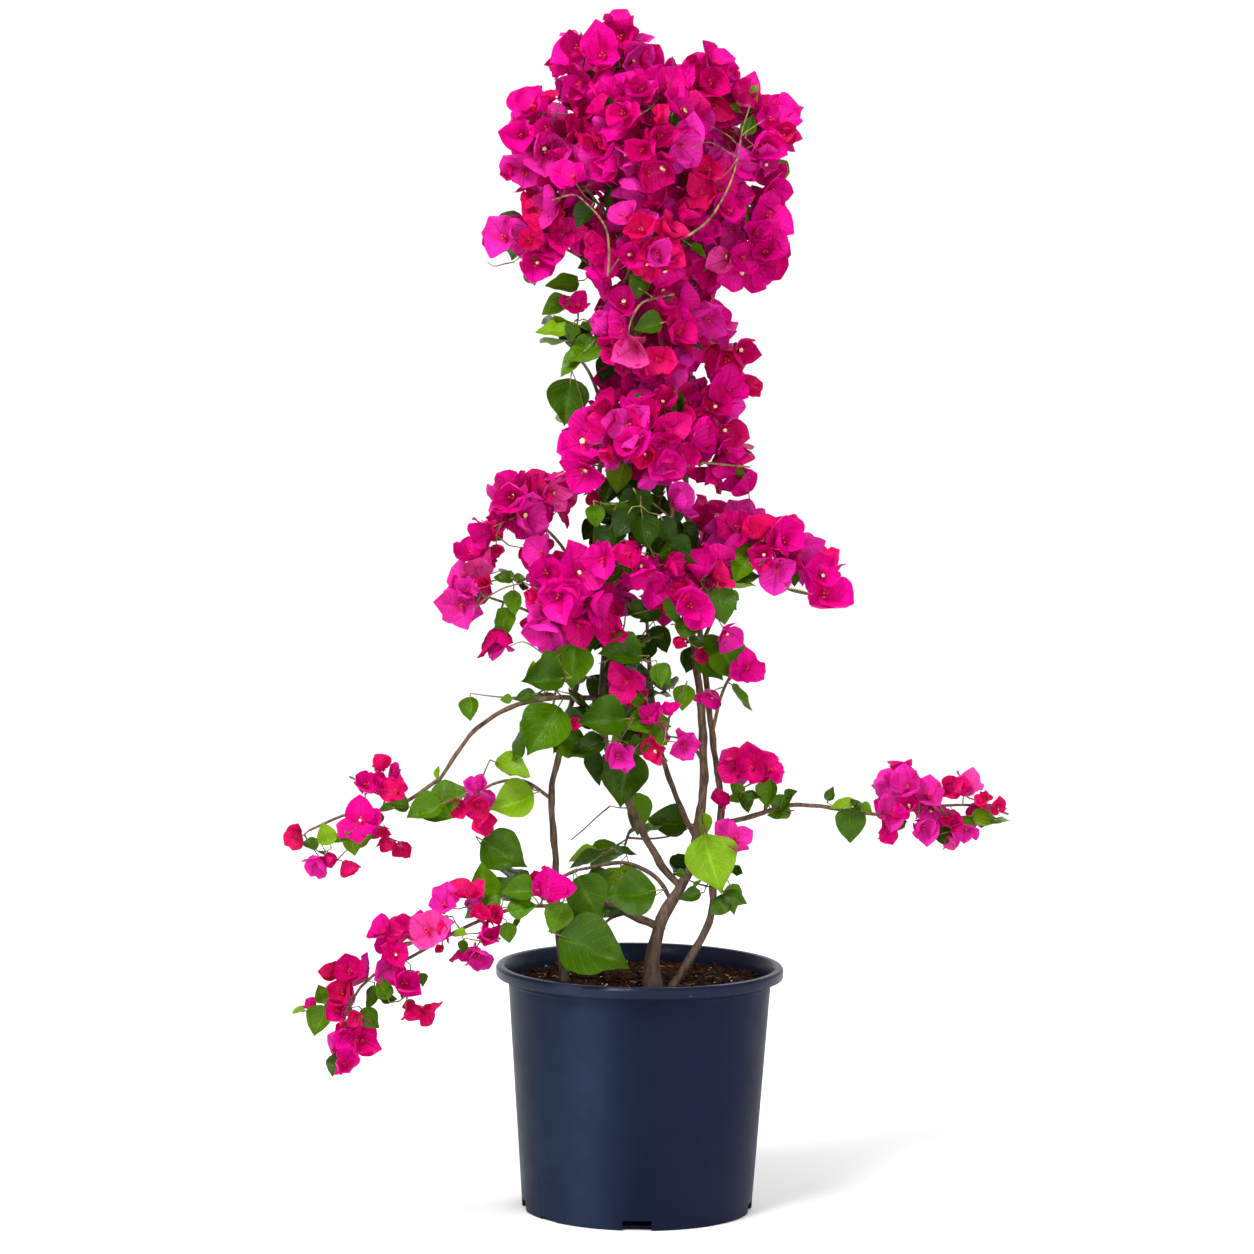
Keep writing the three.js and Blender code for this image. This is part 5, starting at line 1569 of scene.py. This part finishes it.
# %% Fill a lobe
CAP_TOP, CAP_EDGE = 0.95, -0.7
SHELLS = ((6.2, 0.62, 0.94), (3.6, 0.30, 0.6))
LEAVES_EACH = 6
BLOOM_SIZES = (22, 30)
CRIMSON_SIZES = (16, 23)
LEAF_SIZES = (28, 56)
LOBE_CLOSENESS = 0.3


def cap_ways(mass, count):
    """Directions spread evenly over a cap that faces on from the stem."""
    onward = unit(mass.stem.at(1) - mass.stem.at(0))
    turned = axes_from(onward, np.array((0.2, 0.1, 1.0)))
    for k in range(count):
        turn = k * GOLDEN_TURN + 0.5 * mass.rng.random()
        height = CAP_TOP + (CAP_EDGE - CAP_TOP) * ((k + 0.5) / count)
        round_part = math.sqrt(1 - height ** 2)
        yield (turned[:, 0] * round_part * math.cos(turn) + turned[:, 2] * round_part * math.sin(turn)
               + turned[:, 1] * height)


def fill_lobe(mass):
    rng = mass.rng
    heart = mass.stem.at(1)
    full_of_bloom = mass.kind in (HEAD, COLUMN)
    for out in cap_ways(mass, mass.leaves * LEAVES_EACH + (6 if full_of_bloom else 10)):
        if full_of_bloom and out[1] < 0:
            continue
        foot = heart + out * mass.reach * rng.uniform(0.2, 0.75)
        along = unit(out * (1, 1, 0.5)) - 0.35 * UP + 0.35 * random_way(rng)
        facing = 0.9 * UP + 0.9 * out + 0.5 * random_way(rng)
        try_leaf(mass, foot, along, facing, rng.uniform(*LEAF_SIZES) * MM, shade_of(mass, LEAF_MIX, LEAF_NAMES))
    for blooms_each, near, far in SHELLS:
        for out in cap_ways(mass, round(mass.blooms * blooms_each)):
            way = unit(out + 0.16 * random_way(rng))
            place = heart + way * mass.reach * rng.uniform(near, far)
            shade = shade_of(mass, MIXES[mass.kind], BLOOM_NAMES)
            size = rng.uniform(*(CRIMSON_SIZES if shade == "crimson" else BLOOM_SIZES)) * MM
            try_bloom(mass, place, way + 0.42 * random_way(rng) + 0.1 * UP, size, shade, LOBE_CLOSENESS)


# %% [markdown]
# A spray is a long twig with small blooms all along it, and a leaf at every fourth place. Each mass's own stem is laid
# before the mass is filled.

# %% Fill a spray, and grow every mass
SPRAY_BLOOM_SIZES = (17, 25)
SPRAY_CRIMSON_SIZES = (12, 17)
SPRAY_LEAF_SIZES = (16, 30)
SPRAY_CLOSENESS = 0.42
LEAF_EVERY = 4
STEM_SPANS = 16
STEM_RADII = (2.0, 1.2)


def fill_spray(mass):
    rng = mass.rng
    total = 2 * mass.blooms + 2 * mass.leaves
    for k in range(total):
        t = 0.06 + 0.94 * (k + 0.5) / total
        turn = k * GOLDEN_TURN + 0.5 * rng.random()
        ahead = mass.stem.ahead(t)
        side = unit(np.cross(ahead, UP))
        over = np.cross(side, ahead)
        out = unit(0.35 * ahead + math.cos(turn) * side + math.sin(turn) * over)
        place = mass.stem.at(t) + out * mass.reach * rng.uniform(0.15, 0.7)
        if k % LEAF_EVERY == 0:
            along = out - 0.3 * UP + 0.3 * ahead
            size = rng.uniform(*SPRAY_LEAF_SIZES) * MM
            try_leaf(mass, place, along, UP + out, size, shade_of(mass, LEAF_MIX, LEAF_NAMES))
        else:
            shade = shade_of(mass, MIXES[SPRAY], BLOOM_NAMES)
            size = rng.uniform(*(SPRAY_CRIMSON_SIZES if shade == "crimson" else SPRAY_BLOOM_SIZES)) * MM
            try_bloom(mass, place, out + 0.4 * random_way(rng), size, shade, SPRAY_CLOSENESS)


for mass in masses:
    stem_points = [mass.stem.at(i / STEM_SPANS) for i in range(STEM_SPANS + 1)]
    lay_tube(woody_heap, stem_points, np.linspace(*STEM_RADII, STEM_SPANS + 1) * MM, 8)
    (fill_spray if mass.kind == SPRAY else fill_lobe)(mass)
print("blooms:", flower_heap.copies // 3, "leaves:", {name: heap.copies for name, heap in leaf_heaps.items()})


# %% [markdown]
# ## Papery and leafy finishes
# A bract is thin enough to glow when light comes from behind. Its veins are a shade darker, branch from the midrib, and
# are read from the blade's own map, where U runs across and V runs from foot to tip.

# %% A veined finish
SIDE_VEINS = 7.0
WHOLE_TURN = 6.2832
VEIN_HEIGHT = 1.2 * MM
DARKER = (0.6, 0.6, 0.42)


def veined(name, colour, vein, foot, vein_share, translucent, rough, gloss):
    """A thin blade with a midrib and side veins."""
    recipe = Recipe(name)
    where, spots = recipe.place(), recipe.place("UV")
    along = recipe.part(spots, "Y")
    side = recipe.maths("ABSOLUTE", recipe.part(spots, "X") * 2 - 1)
    midrib = 1 - recipe.ramp(side, 0.02, 0.09)
    wander = recipe.noise(where, 150.0, 4.0)
    crinkle = recipe.noise(where, 480.0, 3.0)
    phase = (along * SIDE_VEINS - side * 2.4 + wander * 0.8) * WHOLE_TURN
    side_veins = recipe.ramp(recipe.maths("COSINE", phase), 0.78, 1.0)
    veins = recipe.maths("MAXIMUM", midrib, side_veins * 0.7)
    rough_grain = wander * 0.8 + crinkle * 0.5
    tone = recipe.wire(recipe.node("ShaderNodeAttribute", {"attribute_name": "tone"}), "Fac")
    darker = tuple(share * c for share, c in zip(DARKER, colour))
    shaded = recipe.blend(recipe.ramp(tone * 0.6 + rough_grain, 0.42, 1.04), darker, colour)
    # Towards its foot a blade takes the foot colour: for bracts partly a crimson throat and partly painted shade inside
    # the bloom, for leaves a little darker.
    shaded = recipe.blend((1 - recipe.ramp(along, 0.0, 0.40)) * 0.42, shaded, foot)
    shaded = recipe.blend(veins * vein_share, shaded, vein)
    relief = recipe.bump(veins * 0.6 + rough_grain, VEIN_HEIGHT, 0.7)
    return recipe.surface(translucent, Base_Color=shaded, Roughness=rough, Normal=relief,
                          Specular_IOR_Level=gloss)


# %% Paint bracts, flowers, leaves and twigs
bloom_nodes = [mass.name for mass in masses if mass.blooms > mass.leaves]
leaf_nodes = [mass.name for mass in masses if mass.blooms <= mass.leaves]
for name, colour in BRACT_TINTS.items():
    # The bracts' foot colour: partly their crimson throat, partly painted shade inside the bloom.
    foot = tint(206, 16, 60) if name == "crimson" else tint(192, 2, 56)
    finish = veined(f"bract_{name}", colour, scaled(colour, 0.5), foot, 0.55, 0.22, 0.5, 0.08)
    mount_piece(bract_heaps[name].joined(), f"bracts_{name}", finish, "bracts", *bloom_nodes)
for name, colour in LEAF_TINTS.items():
    finish = veined(f"leaf_{name}", colour, scaled(colour, 1.9), scaled(colour, 0.9), 0.42, 0.12, 0.36, 0.14)
    mount_piece(leaf_heaps[name].joined(), f"leaves_{name}", finish, "leaves", *leaf_nodes)

recipe = Recipe("tube_flower")
height = recipe.part(recipe.place("UV"), "Y")
colour = recipe.blend(recipe.ramp(height, 0.86, 0.98), tint(200, 24, 72), tint(244, 224, 170))
tube_flower = recipe.surface(Base_Color=colour, Roughness=0.6, Specular_IOR_Level=0.2)
mount_piece(flower_heap.joined(), "tube_flowers", tube_flower, "bracts")
twig_bark = bark("twig_bark", tint(104, 76, 56), tint(128, 108, 62), 0.30, 0.80)
mount_piece(woody_heap.joined(), "mass_stems", twig_bark, "bark", *bloom_nodes, *leaf_nodes)
green_bark = bark("green_twig", tint(110, 106, 46), tint(140, 126, 66), 0.30, 0.80)
mount_piece(green_heap.joined(), "green_twigs", green_bark, "bark")
